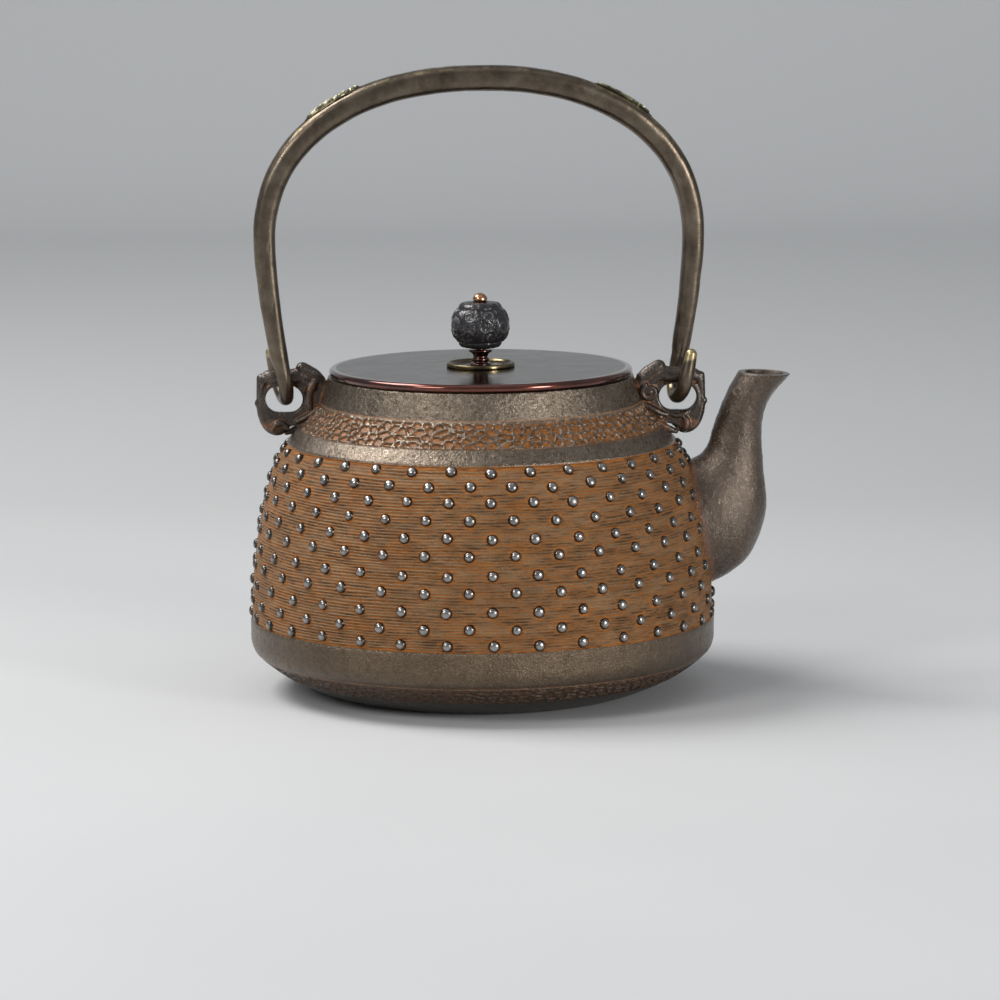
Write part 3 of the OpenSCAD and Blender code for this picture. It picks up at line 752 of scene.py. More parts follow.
# ---------------------------------------------------------------- spout
# In mm: the upper edge's x and z, the lower edge's x and z, then how far the width has gone from root to lip
SPOUT_STATIONS = [[68.0, 80.0, 76.5, 37.0, 0.00], [73.6, 81.5, 82.5, 37.4, 0.00],
                  [78.6, 84.0, 95.5, 46.5, 0.25], [81.4, 88.0, 102.0, 63.0, 0.75],
                  [83.0, 93.5, 101.0, 80.0, 1.12], [85.6, 100.5, 100.6, 95.0, 1.18],
                  [88.6, 107.5, 103.6, 104.2, 1.12], [92.0, 113.4, 110.6, 112.4, 1.00]]
SPOUT_ROOT_HALF, SPOUT_LIP_HALF, SPOUT_WALL = 15 * MM, 9.4 * MM, 2.5 * MM
SPOUT_SIDES = 120


def spout_rings(stations, inset):
    """Rings of the spout. inset says how far inside its outer surface each ring lies."""
    a = angles(SPOUT_SIDES)
    rings = []
    for s, thin in zip(stations, inset):
        high, low = np.array([s[0], 0, s[1]]) * MM, np.array([s[2], 0, s[3]]) * MM
        mid, half = (high + low) / 2, np.linalg.norm(low - high) / 2
        along = (low - high) / (2 * half)
        width = SPOUT_ROOT_HALF + (SPOUT_LIP_HALF - SPOUT_ROOT_HALF) * s[4]
        sideways = (width - thin) * np.sin(a)[:, None] * np.array([0, 1, 0])
        rings.append(mid + (half - thin) * np.cos(a)[:, None] * along + sideways)
    return np.array(rings)


stations = smooth_line(SPOUT_STATIONS, 16)
middle = len(stations) // 2
outer = spout_rings(stations, np.zeros(len(stations)))
normal = np.cross(np.roll(outer, -1, 1) - np.roll(outer, 1, 1), np.gradient(outer, axis=0))
normal /= np.linalg.norm(normal, axis=2)[..., None]
if normal[middle, 0] @ (outer[middle, 0] - outer[middle].mean(0)) < 0:
    normal = -normal
outer = outer + normal * (0.34 * MM * (grain(outer, 1.8 * MM, 71) - 0.5))[..., None]
lip_insets = np.array([0.25, 0.9, 1.7, 2.3]) * MM
lip_round = spout_rings([stations[-1]] * len(lip_insets), lip_insets) + np.array([0, 0, 0.35 * MM])
bore_stations = stations[::-3]
bore = spout_rings(bore_stations, np.full(len(bore_stations), SPOUT_WALL))
rings = np.concatenate([outer, lip_round, bore])
r = np.hypot(rings[..., 0], rings[..., 1])
least_r = wall_radius(rings[..., 2]) - 1.6 * MM
rings[..., :2] *= np.where(r < least_r, least_r / r, 1.0)[..., None]
# Relief 0.95 on the lip's rounding lightens it as a painted highlight; 0.35 in the bore darkens it as painted
# shade.
spout_relief_shade_and_highlight = np.concatenate([0.4 + 0.6 * grain(outer, 1.2 * MM, 72), np.full(lip_round.shape[:2], 0.95),
                               np.full(bore.shape[:2], 0.35)])
near_wall = step(np.hypot(outer[..., 0], outer[..., 1]) - wall_radius(outer[..., 2]), 2.6 * MM, 0.2 * MM)
spout_rust = np.concatenate([0.8 * near_wall, np.zeros((len(lip_round) + len(bore), SPOUT_SIDES))])
spout_fields = {"relief": spout_relief_shade_and_highlight[:, ::-1], "rust": spout_rust[:, ::-1]}
spout_me = rings_mesh("spout_shell", rings[:, ::-1], True, spout_fields, 50)

# ---------------------------------------------------------------- lid
LID_R, RIM_H = 54.3 * MM, 3.1 * MM
LID_TOP = MOUTH_Z + RIM_H
PLATE_UNDER = LID_TOP - 1.8 * MM
PIN_R = 1.3 * MM
rim_c = (LID_R - RIM_H / 2, MOUTH_Z + RIM_H / 2)
under = resample([[PIN_R, PLATE_UNDER], [47.5 * MM, PLATE_UNDER], [47.6 * MM, PLATE_UNDER - 0.1 * MM],
                  [47.6 * MM, MOUTH_Z + 0.1 * MM], [47.8 * MM, MOUTH_Z]], 1.2 * MM)
rim = np.array(arc(rim_c, RIM_H / 2, -90, 83, 26))
top_edge = resample([rim[-1], [rim_c[0] - 0.6 * MM, LID_TOP - 0.02 * MM],
                     [rim_c[0] - 1.0 * MM, LID_TOP]], 0.3 * MM)[1:]
plate = resample([top_edge[-1], [PIN_R, LID_TOP]], 1.0 * MM)[1:]
lid_line = np.vstack([under, rim[1:], top_edge, plate])
P = turned(lid_line, 320)
ripple = 0.025 * MM * (cloud(P, 22 * MM, 81) - 0.5) + 0.006 * MM * (cloud(P, 3 * MM, 82) - 0.5)
ripple[:len(under)] = 0
lid_me = turned_mesh("lid_plate_looks", lid_line, 0.35 + 0.3 * grain(P, 6 * MM, 83), ripple)
RING_OUT, RING_IN, RING_LOW, RING_ROUND = 47.4 * MM, 46.2 * MM, 105.3 * MM, 0.3 * MM
ring_line = resample([[RING_IN, PLATE_UNDER], [RING_IN, RING_LOW + RING_ROUND],
                      [RING_IN + RING_ROUND, RING_LOW],
                      [RING_OUT - RING_ROUND, RING_LOW], [RING_OUT, RING_LOW + RING_ROUND],
                      [RING_OUT, PLATE_UNDER]], 0.7 * MM)
P = turned(ring_line, 240)
ripple = 0.03 * MM * (cloud(P, 5 * MM, 84) - 0.5)
ring_me = turned_mesh("lid_ring_looks", ring_line, 0.3 + 0.4 * grain(P, 3 * MM, 85), ripple)

# Knob
DISH_R = 12.2 * MM
STEM_Z = LID_TOP + 0.5 * MM
dish_line = resample([[PIN_R, LID_TOP], [DISH_R - 0.2 * MM, LID_TOP], [DISH_R, LID_TOP + 0.25 * MM],
                      [DISH_R - 0.02 * MM, LID_TOP + 1.2 * MM], [DISH_R - 0.3 * MM, LID_TOP + 1.55 * MM],
                      [DISH_R - 0.75 * MM, LID_TOP + 1.62 * MM], [DISH_R - 1.15 * MM, LID_TOP + 1.5 * MM],
                      [DISH_R - 1.5 * MM, LID_TOP + 1.0 * MM], [DISH_R - 2.6 * MM, STEM_Z],
                      [PIN_R, STEM_Z]], 0.28 * MM)
P = turned(dish_line, 200)
dish_r = dish_line[:, :1]
DISH_EDGE = DISH_R - 1.6 * MM
wear_and_highlight = np.clip((dish_line[:, 1:] - LID_TOP) / (1.6 * MM), 0, 1) * step(dish_r, DISH_EDGE, DISH_R - 0.5 * MM)
dish_relief = 0.30 + 0.38 * wear_and_highlight * grain(P, 5 * MM, 91) - 0.22 * step(dish_r, DISH_EDGE, DISH_R - 3 * MM)
dish_me = turned_mesh("knob_dish_looks", dish_line, dish_relief, 0.04 * MM * (cloud(P, 2 * MM, 92) - 0.5))
STEM_POINTS = [[1.3, 0], [3.55, 0], [3.65, 0.25], [3.6, 0.62], [3.35, 0.85], [2.75, 1.05], [2.72, 1.25],
               [3.0, 1.6], [3.08, 2.05], [2.98, 2.5], [2.66, 2.85], [2.58, 3.2], [2.7, 3.7], [3.05, 4.2],
               [3.7, 4.65], [4.1, 4.85], [4.24, 5.1], [4.2, 5.45], [4.0, 5.6], [1.3, 5.6]]
stem_line = resample(np.array(STEM_POINTS) * MM + [0, STEM_Z], 0.14 * MM)
P = turned(stem_line, 120)
stem_me = turned_mesh("knob_stem_looks", stem_line, 0.3 + 0.5 * grain(P, 1.5 * MM, 93), sharp=45)

BEAD_R, BEAD_H = 10.6 * MM, 17.5 * MM
BEAD_Z = STEM_Z + 5.7 * MM
bead_mid = BEAD_Z + BEAD_H / 2
bulge = [[BEAD_R * (1 - abs(t) ** 2.3) ** (1 / 2.3), bead_mid + t * BEAD_H / 2]
         for t in np.linspace(-0.68, 0.68, 90)]
cap = [[3.6 * MM + 4.3 * MM * math.cos(a), (0.7 + 0.3 * math.sin(a)) * BEAD_H / 2]
       for a in np.linspace(0, math.pi / 2, 24)]
bead_line = np.vstack([resample([[1.36 * MM, BEAD_Z], [3.5 * MM, BEAD_Z]], 0.3 * MM),
                       [[r, bead_mid - h] for r, h in cap[::-1]], bulge, [[r, bead_mid + h] for r, h in cap],
                       resample([[3.5 * MM, BEAD_Z + BEAD_H], [1.36 * MM, BEAD_Z + BEAD_H]], 0.3 * MM)])
bead_cols = 420
P = turned(bead_line, bead_cols)
az = angles(bead_cols)[None, :]
h = (bead_line[:, 1][:, None] - bead_mid) / (BEAD_H / 2)
carve = np.zeros(P.shape[:2])
CLOUDS = [(i * 60 + (30 if j % 2 else 0), v) for j, v in enumerate((-0.42, 0.02, 0.45)) for i in range(6)]
for k, (deg, v) in enumerate(CLOUDS):
    size = 1.0 if abs(v) < 0.2 else 0.82
    turned_by = np.angle(np.exp(1j * (az - math.radians(deg + 9 * math.sin(k * 2.1)))))
    du = turned_by * BEAD_R * np.sqrt(np.clip(1 - h * h * 0.8, 0.1, 1))
    dv = (h - v) * BEAD_H / 2
    rr = np.hypot(du, dv) / (3.6 * MM * size)
    ang = np.arctan2(dv, du) + k * 1.3
    petals = 1 + 0.16 * np.cos(5 * ang)
    swirl = np.cos(2 * math.pi * (rr * 1.55 - ang / (2 * math.pi)))
    here = 1 - step(rr, 0.92 * petals, 1.05 * petals)
    carve = np.maximum(carve, here * (0.50 + 0.30 * swirl * step(rr, 0.12, 0.3)))
between_clouds = 0.30 + 0.25 * step(cloud(P, 1.1 * MM, 95), 0.45, 0.6) - 0.3 * step(np.abs(h), 0.66, 0.7)
carve = np.maximum(carve, between_clouds)
on_cap = step(np.abs(h), 0.69, 0.71)
fan = 0.56 + 0.14 * np.cos(az * 14 + 3 * h)
carve = carve * (1 - on_cap) + (fan * step(1 - np.abs(h), 0.0, 0.1) + 0.1) * on_cap
carve = np.clip(carve + 0.20 * (grain(P, 0.9 * MM, 96) - 0.5) + 0.3 * (cloud(P, 2.4 * MM, 94) - 0.5), 0, 1)
flat_ends = step(bead_line[:, 0], 1.8 * MM, 3.6 * MM)[:, None]
bead_rise = (carve - 0.85) * 0.62 * MM * flat_ends
bead_me = turned_mesh("knob_bead_looks", bead_line, (0.12 + carve * 0.66) * (1 - 0.3 * on_cap), bead_rise)

HEAD_Z = BEAD_Z + BEAD_H + 0.1 * MM
PIN_LOW = PLATE_UNDER - 1.9 * MM
foot = [[0.02, 0], [1.9, 0], [2.2, 0.25], [2.15, 0.75], [1.9, 0.9], [1.28, 0.92]]
shaft = [[1.28 * MM, z] for z in np.linspace(PIN_LOW + 1.2 * MM, HEAD_Z - 0.02 * MM, 20)]
head = [[2.6 * MM * math.cos(a), HEAD_Z + 0.3 * MM + 2.3 * MM * math.sin(a)]
        for a in np.linspace(0, 1.555, 16)]
pin_line = np.vstack([np.array(foot) * MM + [0, PIN_LOW], shaft,
                      [[2.35 * MM, HEAD_Z], [2.58 * MM, HEAD_Z + 0.15 * MM]], head])
P = turned(pin_line, 96)
dents = np.where(P[..., 2] > HEAD_Z + 0.2 * MM, 0.10 * MM * (cloud(P, 1.2 * MM, 97) - 0.5), 0)
pin_me = turned_mesh("knob_pin_looks", pin_line, 0.3 + 0.5 * grain(P, 1 * MM, 98), dents, False, 45)
WASHER_LOW, WASHER_TOP = PLATE_UNDER - 1 * MM, PLATE_UNDER - 0.02 * MM
washer_line = resample([[1.32 * MM, WASHER_LOW], [4.85 * MM, WASHER_LOW], [5 * MM, WASHER_LOW + 0.15 * MM],
                        [5 * MM, WASHER_TOP], [1.32 * MM, WASHER_TOP]], 0.3 * MM)
P = turned(washer_line, 96)
washer_me = turned_mesh("knob_washer_looks", washer_line, 0.3 + 0.4 * grain(P, 1.5 * MM, 99), sharp=45)

# ---------------------------------------------------------------- lugs
PIVOT_X, PIVOT_Z = 71.6 * MM, 112.6 * MM
LUG_OUTLINE = [[54, 109.2], [57, 110.4], [60.4, 111.6], [63.6, 110.8], [66.6, 109.2], [68.8, 109.5],
               [71.6, 110.3], [75.2, 110.2], [77.2, 109.6], [78.2, 107], [78.4, 104.2], [78.0, 99.4],
               [76.6, 95.6], [74.6, 93.5], [72.2, 93.0], [69.8, 94.6], [66.6, 95.4], [64.0, 93.6],
               [60.5, 93.6], [58.0, 97.5], [54.5, 103]]
EYE_R, EYE_Z, EYE_X = 4.75, 104.85, (68.5, 72.3)
WEB_MIDDLE = np.array([70.4, EYE_Z])


def lug_rods():
    """The right lug's rods, scroll and bosses, in millimetres: front is -Y."""
    rods = []

    def add(points, radii):
        rods.append(tube(points, radii))

    add([[56.5, -0.4, 109.2], [59.0, -0.3, 112.6], [61.6, -0.2, 114.3], [63.7, 0, 115.6]],
        [2.3, 2.5, 2.6, 2.5])
    add([[59.5, 0.0, 109.0], [62.4, 0, 111.3], [65.0, 0, 112.9], [67.6, 0, 112.7]], [2.4, 2.6, 2.9, 2.95])
    add([[66.0, 0, 112.6], [71.6, 0, 112.6], [75.2, 0, 112.6], [77.0, 0, 112.2]], [2.95, 2.95, 2.9, 2.3])
    add([[76.6, 0, 113.3], [78.1, 0, 111.6], [78.6, 0, 108.4], [78.8, 0, 105.0], [78.6, 0, 101.4],
         [77.9, 0, 98.2], [76.5, 0, 95.3], [74.2, 0, 93.6], [71.8, 0, 93.6], [70.0, 0, 95.0]],
        [1.6, 1.9, 1.7, 1.55, 1.75, 1.8, 1.85, 1.9, 1.7, 1.3])
    add([[56.0, -1.9, 103.9], [59.6, -2.3, 101.6], [63.2, -2.2, 99.6], [66.5, -1.6, 98.2]],
        [0.9, 1.15, 1.15, 0.8])
    add([[57.6, -1.4, 101.6], [61.2, -1.9, 99.3], [64.4, -2.0, 97.4]], [0.8, 0.95, 0.8])
    add([[61.6, -1.9, 96.8], [64.6, -2.2, 94.9], [67.6, -2.0, 93.2], [69.8, -1.4, 92.4]],
        [0.8, 1.2, 1.25, 0.9])
    add([[72.4, -1.9, 98.2], [73.4, -2.3, 96.4], [73.6, -2.1, 94.4], [72.6, -1.7, 93.0]],
        [0.85, 1.2, 1.3, 1.0])
    add([[66.6, -1.3, 99.0], [69.4, -1.7, 98.2], [72.0, -1.7, 98.4], [74.6, -1.2, 99.6]],
        [0.8, 0.95, 0.95, 0.7])
    add([[78.7, -0.6, 104.4], [79.6, -0.2, 103.3], [79.2, 0.2, 101.9]], [0.9, 1.45, 1.0])
    add([[77.4, -0.5, 113.2], [78.9, -0.3, 112.6], [79.5, 0, 111.3]], [0.9, 1.2, 0.8])
    turns = np.radians(np.arange(0, 500, 24))
    growth = np.linspace(2.95, 1.15, len(turns))
    scroll = [[60.4 + g * math.cos(t + 2.1), -2.7 - 0.25 * i / len(turns), 106.6 + g * math.sin(t + 2.1)]
              for i, (t, g) in enumerate(zip(turns, growth))]
    add(scroll, np.linspace(0.95, 0.6, len(turns)))
    rods.append(ball((60.4, -1.0, 106.6), (3.5, 2.0, 3.5)))
    rods.append(ball((60.4, -2.7, 106.6), (1.25, 1.15, 1.25)))
    add([[59.0, 1.6, 111.0], [61.0, 2.4, 108.4], [61.6, 2.5, 105.2], [61.0, 2.2, 102.2], [59.2, 1.7, 100.2]],
        [1.3, 1.5, 1.4, 1.3, 1.0])
    add([[57.6, 2.2, 101.6], [60.4, 2.5, 99.8], [63.4, 2.4, 98.0], [66.0, 1.8, 96.8]], [1.0, 1.0, 0.95, 0.8])
    rods.append(ball((58.2, 2.5, 101.4), (1.6, 1.35, 1.45)))
    add([[77.4, 1.2, 111.2], [78.6, 1.3, 108.0], [78.7, 1.3, 104.4]], [0.9, 0.95, 0.8])
    add([[69.2, 1.6, 94.6], [71.0, 2.0, 96.2], [73.4, 2.1, 95.8], [74.6, 1.8, 94.2]], [0.8, 1.0, 1.1, 0.9])
    add([[56.6, 0.4, 112.2], [58.0, 0.2, 112.9], [59.2, 0.0, 112.6]], [1.0, 1.35, 0.9])
    return rods


def web_radius(points, grid):
    """How far the outline through points is from the web's middle, at the angles of grid."""
    x, z = (points - WEB_MIDDLE).T
    order = np.argsort(np.arctan2(z, x))
    return np.interp(grid, np.arctan2(z, x)[order], np.hypot(x, z)[order], period=2 * math.pi)


def lug_web():
    """The plate behind the scrolls, with its eye, as one closed strip round the eye."""
    outline = resample(np.vstack([LUG_OUTLINE, LUG_OUTLINE[:1]]), 0.5)[:-1]
    half_turn = np.linspace(math.pi / 2, -math.pi / 2, 40)
    eye = [[EYE_X[1] + EYE_R * math.cos(t), EYE_Z + EYE_R * math.sin(t)] for t in half_turn]
    eye += [[EYE_X[0] - EYE_R * math.cos(t), EYE_Z - EYE_R * math.sin(t)] for t in half_turn]
    eye = resample(np.vstack([eye, eye[:1]]), 0.3)[:-1]
    grid = np.linspace(-math.pi, math.pi, 181)[:-1]
    far, near = web_radius(outline, grid), web_radius(eye, grid)
    strip = [(near + (far - near) * share, half)
             for share, half in ((0, 1.2), (0.06, 1.75), (0.5, 1.9), (0.94, 1.75), (1, 1.2))]
    loop = [(rad, -half) for rad, half in strip] + [(rad, half) for rad, half in strip[::-1]]
    x, z = WEB_MIDDLE
    points = np.array([[[x + r * math.cos(g), y, z + r * math.sin(g)] for r, g in zip(rad, grid)]
                       for rad, y in loop])
    return points.reshape(-1, 3), [ring_faces(len(loop), len(grid), True)]


def remeshed(vertices, faces, voxel, smooth):
    """The union of overlapping closed shapes as one smooth skin."""
    me = make_mesh("shapes", vertices, faces)
    ob = bpy.data.objects.new("shapes", me)
    scene.collection.objects.link(ob)
    mod = ob.modifiers.new("skin", "REMESH")
    mod.mode = "VOXEL"
    mod.voxel_size = voxel
    mod.use_smooth_shade = True
    if smooth:
        soft = ob.modifiers.new("soft", "SMOOTH")
        soft.factor = 0.5
        soft.iterations = smooth
    bpy.context.view_layer.update()
    graph = bpy.context.evaluated_depsgraph_get()
    made = bpy.data.meshes.new_from_object(ob.evaluated_get(graph))
    bpy.data.objects.remove(ob)
    return made


def positions(me):
    co = np.zeros(len(me.vertices) * 3, np.float32)
    me.vertices.foreach_get("co", co)
    return co.reshape(-1, 3).astype(float)


def normals(me):
    out = np.zeros(len(me.vertices) * 3, np.float32)
    me.vertex_normals.foreach_get("vector", out)
    return out.reshape(-1, 3).astype(float)


def hollowness(me, reach):
    """For each point, how far it lies below its surroundings: positive in hollows, negative on ridges."""
    edges = np.zeros(len(me.edges) * 2, np.int32)
    me.edges.foreach_get("vertices", edges)
    e = edges.reshape(-1, 2)
    p, n = positions(me), normals(me)
    count = np.bincount(e.ravel(), minlength=len(p)).astype(float)
    mean = p.copy()
    for _ in range(reach):
        total = np.zeros_like(mean)
        for k in range(3):
            total[:, k] = (np.bincount(e[:, 0], mean[e[:, 1], k], len(p))
                           + np.bincount(e[:, 1], mean[e[:, 0], k], len(p)))
        mean = total / count[:, None]
    return np.einsum("ij,ij->i", mean - p, n)


lug_v, lug_f = joined([lug_web()] + lug_rods())
lug_right_me = remeshed(lug_v * MM, lug_f, 0.27 * MM, 3)
p, n = positions(lug_right_me), normals(lug_right_me)
sunk = hollowness(lug_right_me, 10)
in_arm = (p[:, 0] > 67.2 * MM) & (p[:, 0] < 75.6 * MM) & (p[:, 2] > EYE_Z * MM)
free = np.where(in_arm, 0.25, 1.0)
p = p + n * (0.16 * MM * (grain(p, 1.3 * MM, 101) - 0.5) * free)[:, None]
lug_right_me.vertices.foreach_set("co", p.astype(np.float32).ravel())
lug_relief = np.clip(0.62 - sunk / (0.30 * MM) * 0.5 + 0.25 * (grain(p, 1.0 * MM, 102) - 0.5), 0, 1)
lug_rust = np.clip(step(sunk, 0.02 * MM, 0.20 * MM) + 0.45 * step(cloud(p, 5 * MM, 103), 0.60, 0.8), 0, 1)
lug_rust *= np.where(in_arm, 0.15, 1)
lug_rust = np.maximum(lug_rust, step(wall_radius(p[:, 2]) - np.hypot(p[:, 0], p[:, 1]), -1.2 * MM, -0.2 * MM))
for key, values in (("relief", lug_relief), ("rust", lug_rust)):
    lug_right_me.attributes.new(key, "FLOAT", "POINT").data.foreach_set("value", values.astype(np.float32))
lug_left_me = lug_right_me.copy()
lug_left_me.transform(Matrix.Rotation(math.pi, 4, "Z"))

# ---------------------------------------------------------------- handle
BAIL_YAW = math.radians(6.03)
BAIL_HALF, BAIL_WIDE_Z, BAIL_TOP_Z, BAIL_SQUARE, LEG_LEAN = 76.8 * MM, 161.6 * MM, 219 * MM, 2.22, 6.2 * MM
BAR_TOP, BAR_LOW, BAIL_LOW_Z = 4.6 * MM, 3.1 * MM, 117.6 * MM
HOOK_ROD_R, HOOK_BEND_R = 2.6 * MM, 7.8 * MM
HOOK_YAW, HOOK_TILT = math.radians(13), math.radians(12)
TIP_R = 2.05 * MM


def hook_point(x, y, z):
    """A point of the right hook in the kettle's frame."""
    c, s = math.cos(HOOK_TILT), math.sin(HOOK_TILT)
    x, z = x * c + z * s, -x * s + z * c
    c, s = math.cos(HOOK_YAW), math.sin(HOOK_YAW)
    return [PIVOT_X + x * c - y * s, x * s + y * c, PIVOT_Z + z]


def bail_point(u, z):
    return [u * math.cos(BAIL_YAW), u * math.sin(BAIL_YAW), z]


def leg_u(z):
    return BAIL_HALF - LEG_LEAN * ((BAIL_WIDE_Z - z) / (BAIL_WIDE_Z - PIVOT_Z)) ** 1.5


def hook_station(y, z, r):
    return (*hook_point(0, y, z), r, 0)


def bar_half(z):
    """Half thickness of the bar at a height."""
    return BAR_LOW + (BAR_TOP - BAR_LOW) * max(0.0, (z - BAIL_LOW_Z) / (BAIL_TOP_Z - BAIL_LOW_Z)) ** 0.8


def bar_station(u, z):
    return (*bail_point(u, z), bar_half(z), float(step(z, 119 * MM, 135 * MM)))


# Each station is a point of the handle's line, its half thickness and how square its section is
TIP_LENGTH = 8.6
half = [hook_station(-HOOK_BEND_R, h * MM, TIP_R + (HOOK_ROD_R - TIP_R) * (1 - h / TIP_LENGTH))
        for h in np.linspace(8.3, 0.4, 16)]
half += [hook_station(-HOOK_BEND_R * math.cos(a), -HOOK_BEND_R * math.sin(a), HOOK_ROD_R)
         for a in np.linspace(0, math.pi, 30)]
half += [hook_station(HOOK_BEND_R, h * MM, HOOK_ROD_R) for h in np.linspace(0.7, 3.2, 5)]
half += [bar_station(leg_u(z), z) for z in np.linspace(121.5 * MM, BAIL_WIDE_Z, 40)]
half += [bar_station(BAIL_HALF * math.cos(a) ** (2 / BAIL_SQUARE),
                     BAIL_WIDE_Z + (BAIL_TOP_Z - BAIL_WIDE_Z) * math.sin(a) ** (2 / BAIL_SQUARE))
         for a in np.linspace(0, math.pi / 2, 110)[1:]]
half = np.array(half)
other = half[::-1][1:].copy()
other[:, :2] *= -1
table = resample(np.vstack([half, other]), 0.9 * MM)
for _ in range(3):
    table[1:-1] = 0.25 * table[:-2] + 0.5 * table[1:-1] + 0.25 * table[2:]
TIP_TURNS = (80, 62, 44, 26, 10)
line, bar_r = rounded_ends(table[:, :3], table[:, 3], TIP_TURNS, TIP_R, TIP_R)
shape = np.pad(table[:, 4], len(TIP_TURNS))
BAR_SIDES = 64
top_i = len(line) // 2
across = np.array([-math.sin(BAIL_YAW), math.cos(BAIL_YAW), 0])


def bar_section(i, a):
    power = 2 / (2 + 0.75 * shape[i])
    deep = 1 + 0.08 * shape[i]
    ca, sa = np.cos(a), np.sin(a)
    return bar_r[i] * np.sign(ca) * np.abs(ca) ** power, bar_r[i] * deep * np.sign(sa) * np.abs(sa) ** power


first_half = sweep(line[top_i::-1], across, lambda i, a: bar_section(top_i - i, a), BAR_SIDES)
second_half = sweep(line[top_i:], across, lambda i, a: bar_section(top_i + i, a), BAR_SIDES)
mirrored = (BAR_SIDES // 2 - np.arange(BAR_SIDES)) % BAR_SIDES
bar_rings = np.concatenate([first_half[::-1][:-1], second_half[:, mirrored]])
centres = bar_rings.mean(1, keepdims=True)
outward = bar_rings - centres
outward /= np.linalg.norm(outward, axis=2)[..., None]
hammer = (0.22 * MM * (cloud(bar_rings, 7 * MM, 111) - 0.5)
          + 0.10 * MM * (grain(bar_rings, 2.2 * MM, 112) - 0.5))
marks = step(cloud(bar_rings, (1.2 * MM, 1.2 * MM, 5 * MM), 113), 0.78, 0.9)
bar_rings = bar_rings + outward * (hammer - 0.12 * MM * marks)[..., None]


def in_bail_plane(v):
    """A vector's parts along the handle and up."""
    return np.stack([v[..., 0] * math.cos(BAIL_YAW) + v[..., 1] * math.sin(BAIL_YAW), v[..., 2]], -1)


radial = in_bail_plane(bar_rings) - [0, 165 * MM]
radial /= np.linalg.norm(radial, axis=2)[..., None]
outer_side = np.einsum("ijk,ijk->ij", in_bail_plane(outward), radial)
height = bar_rings[..., 2]
# Painted highlight: a lighter strip along the outer side of the lower legs.
outer_strip_highlight = step(outer_side, 0.45, 0.75) * (1 - step(outer_side, 0.93, 1.0)) * step(height, 116 * MM, 140 * MM)
patches = step(cloud(bar_rings, (16 * MM, 16 * MM, 24 * MM), 115), 0.55, 0.8)
rightness = step(bar_rings[..., 0], -10 * MM, 50 * MM)
from_end = np.minimum(np.arange(len(line)), np.arange(len(line))[::-1])
tips = step(height, 117.5 * MM, 120 * MM) * (shape[:, None] < 0.02) * (from_end[:, None] < 22)
# Lighter on the outer strip painted as a highlight, in random patches, in more patches on the right-hand leg
# below the arch, and at the hooks' tips; darker in hammer marks.
bar_relief = (0.42 + 0.22 * outer_strip_highlight + 0.12 * patches
              + 0.32 * rightness * patches * step(height, 185 * MM, 160 * MM)
              + 0.25 * (grain(bar_rings, 3 * MM, 116) - 0.5) + 0.45 * tips - 0.1 * marks)
bar_me = rings_mesh("handle", bar_rings[::-1], False, {"relief": np.clip(bar_relief[::-1], 0.3, 1)}, 60)


def arch_z(u):
    """Height of the arch's middle line at a distance u from its middle."""
    share = (1 - (abs(u) / BAIL_HALF) ** BAIL_SQUARE) ** (1 / BAIL_SQUARE)
    return BAIL_WIDE_Z + (BAIL_TOP_Z - BAIL_WIDE_Z) * share


def on_bar(u):
    """Middle, outward direction and half thickness of the arch at a distance u from its middle."""
    e = 0.2 * MM
    d = np.array([2 * e, arch_z(u + e) - arch_z(u - e)])
    d /= np.linalg.norm(d)
    z = arch_z(u)
    return np.array([u, z]), np.array([-d[1], d[0]]), bar_half(z)


def face_plate(u_from, u_to, depth, proud, sunk, scroll, seed):
    """Plate on the bar's outer face. scroll(along, across) gives its relief from 0 to 1."""
    n, m = int(abs(u_to - u_from) / (0.22 * MM)), 30
    rings, relief = [], []
    for i in range(n + 1):
        s = i / n
        mid, out, h = on_bar(u_from + (u_to - u_from) * s)
        end = 1 - 0.45 * abs(2 * s - 1) ** 4
        v = np.linspace(-1, 1, m)
        level = scroll(np.full(m, s), v)
        round_edge = 1 - step(np.abs(v), 0.82, 1.0)
        crown = h - 0.22 * MM * v * v
        top = crown + proud * end * (0.25 + 0.75 * level) * round_edge
        ys = np.concatenate([v, v[::-1]]) * depth / 2 * end
        ns = np.concatenate([top, np.full(m, h - sunk)])
        rings.append([(mid[0] + q * out[0], y, mid[1] + q * out[1]) for q, y in zip(ns, ys)])
        relief.append(np.concatenate([level * round_edge * 0.9, np.full(m, 0.2)]))
    rings = np.array(rings)
    c, s = math.cos(BAIL_YAW), math.sin(BAIL_YAW)
    u, y, z = np.moveaxis(rings, -1, 0)
    rings = np.stack([u * c - y * s, u * s + y * c, z], -1)
    return rings, np.clip(np.array(relief) + 0.1 * (grain(rings, 0.8 * MM, seed) - 0.5), 0, 1)


# Each scroll's place and size in mm, along and across the plate
SCROLLS = ((3.2, 0.6, 2.5), (8.0, -0.7, 2.9), (12.6, 0.8, 2.4), (16.2, -0.4, 2.0), (5.6, -2.0, 1.4),
           (10.6, 2.1, 1.4))


def cloud_scroll(s, v):
    """Relief of scrolling clouds, from the share of the plate's length and of its half width."""
    x, y = s * 19, v * 3.2
    level = np.zeros_like(x)
    for k, (cx, cy, size) in enumerate(SCROLLS):
        rr, ang = np.hypot(x - cx, y - cy), np.arctan2(y - cy, x - cx)
        swirl = 0.5 + 0.5 * np.cos(2 * math.pi * (rr / 1.25 - ang / (2 * math.pi)) + k)
        here = 1 - step(rr, size * 0.9, size * 1.1)
        level = np.maximum(level, here * (0.25 + 0.75 * step(swirl, 0.25, 0.75)))
    return level


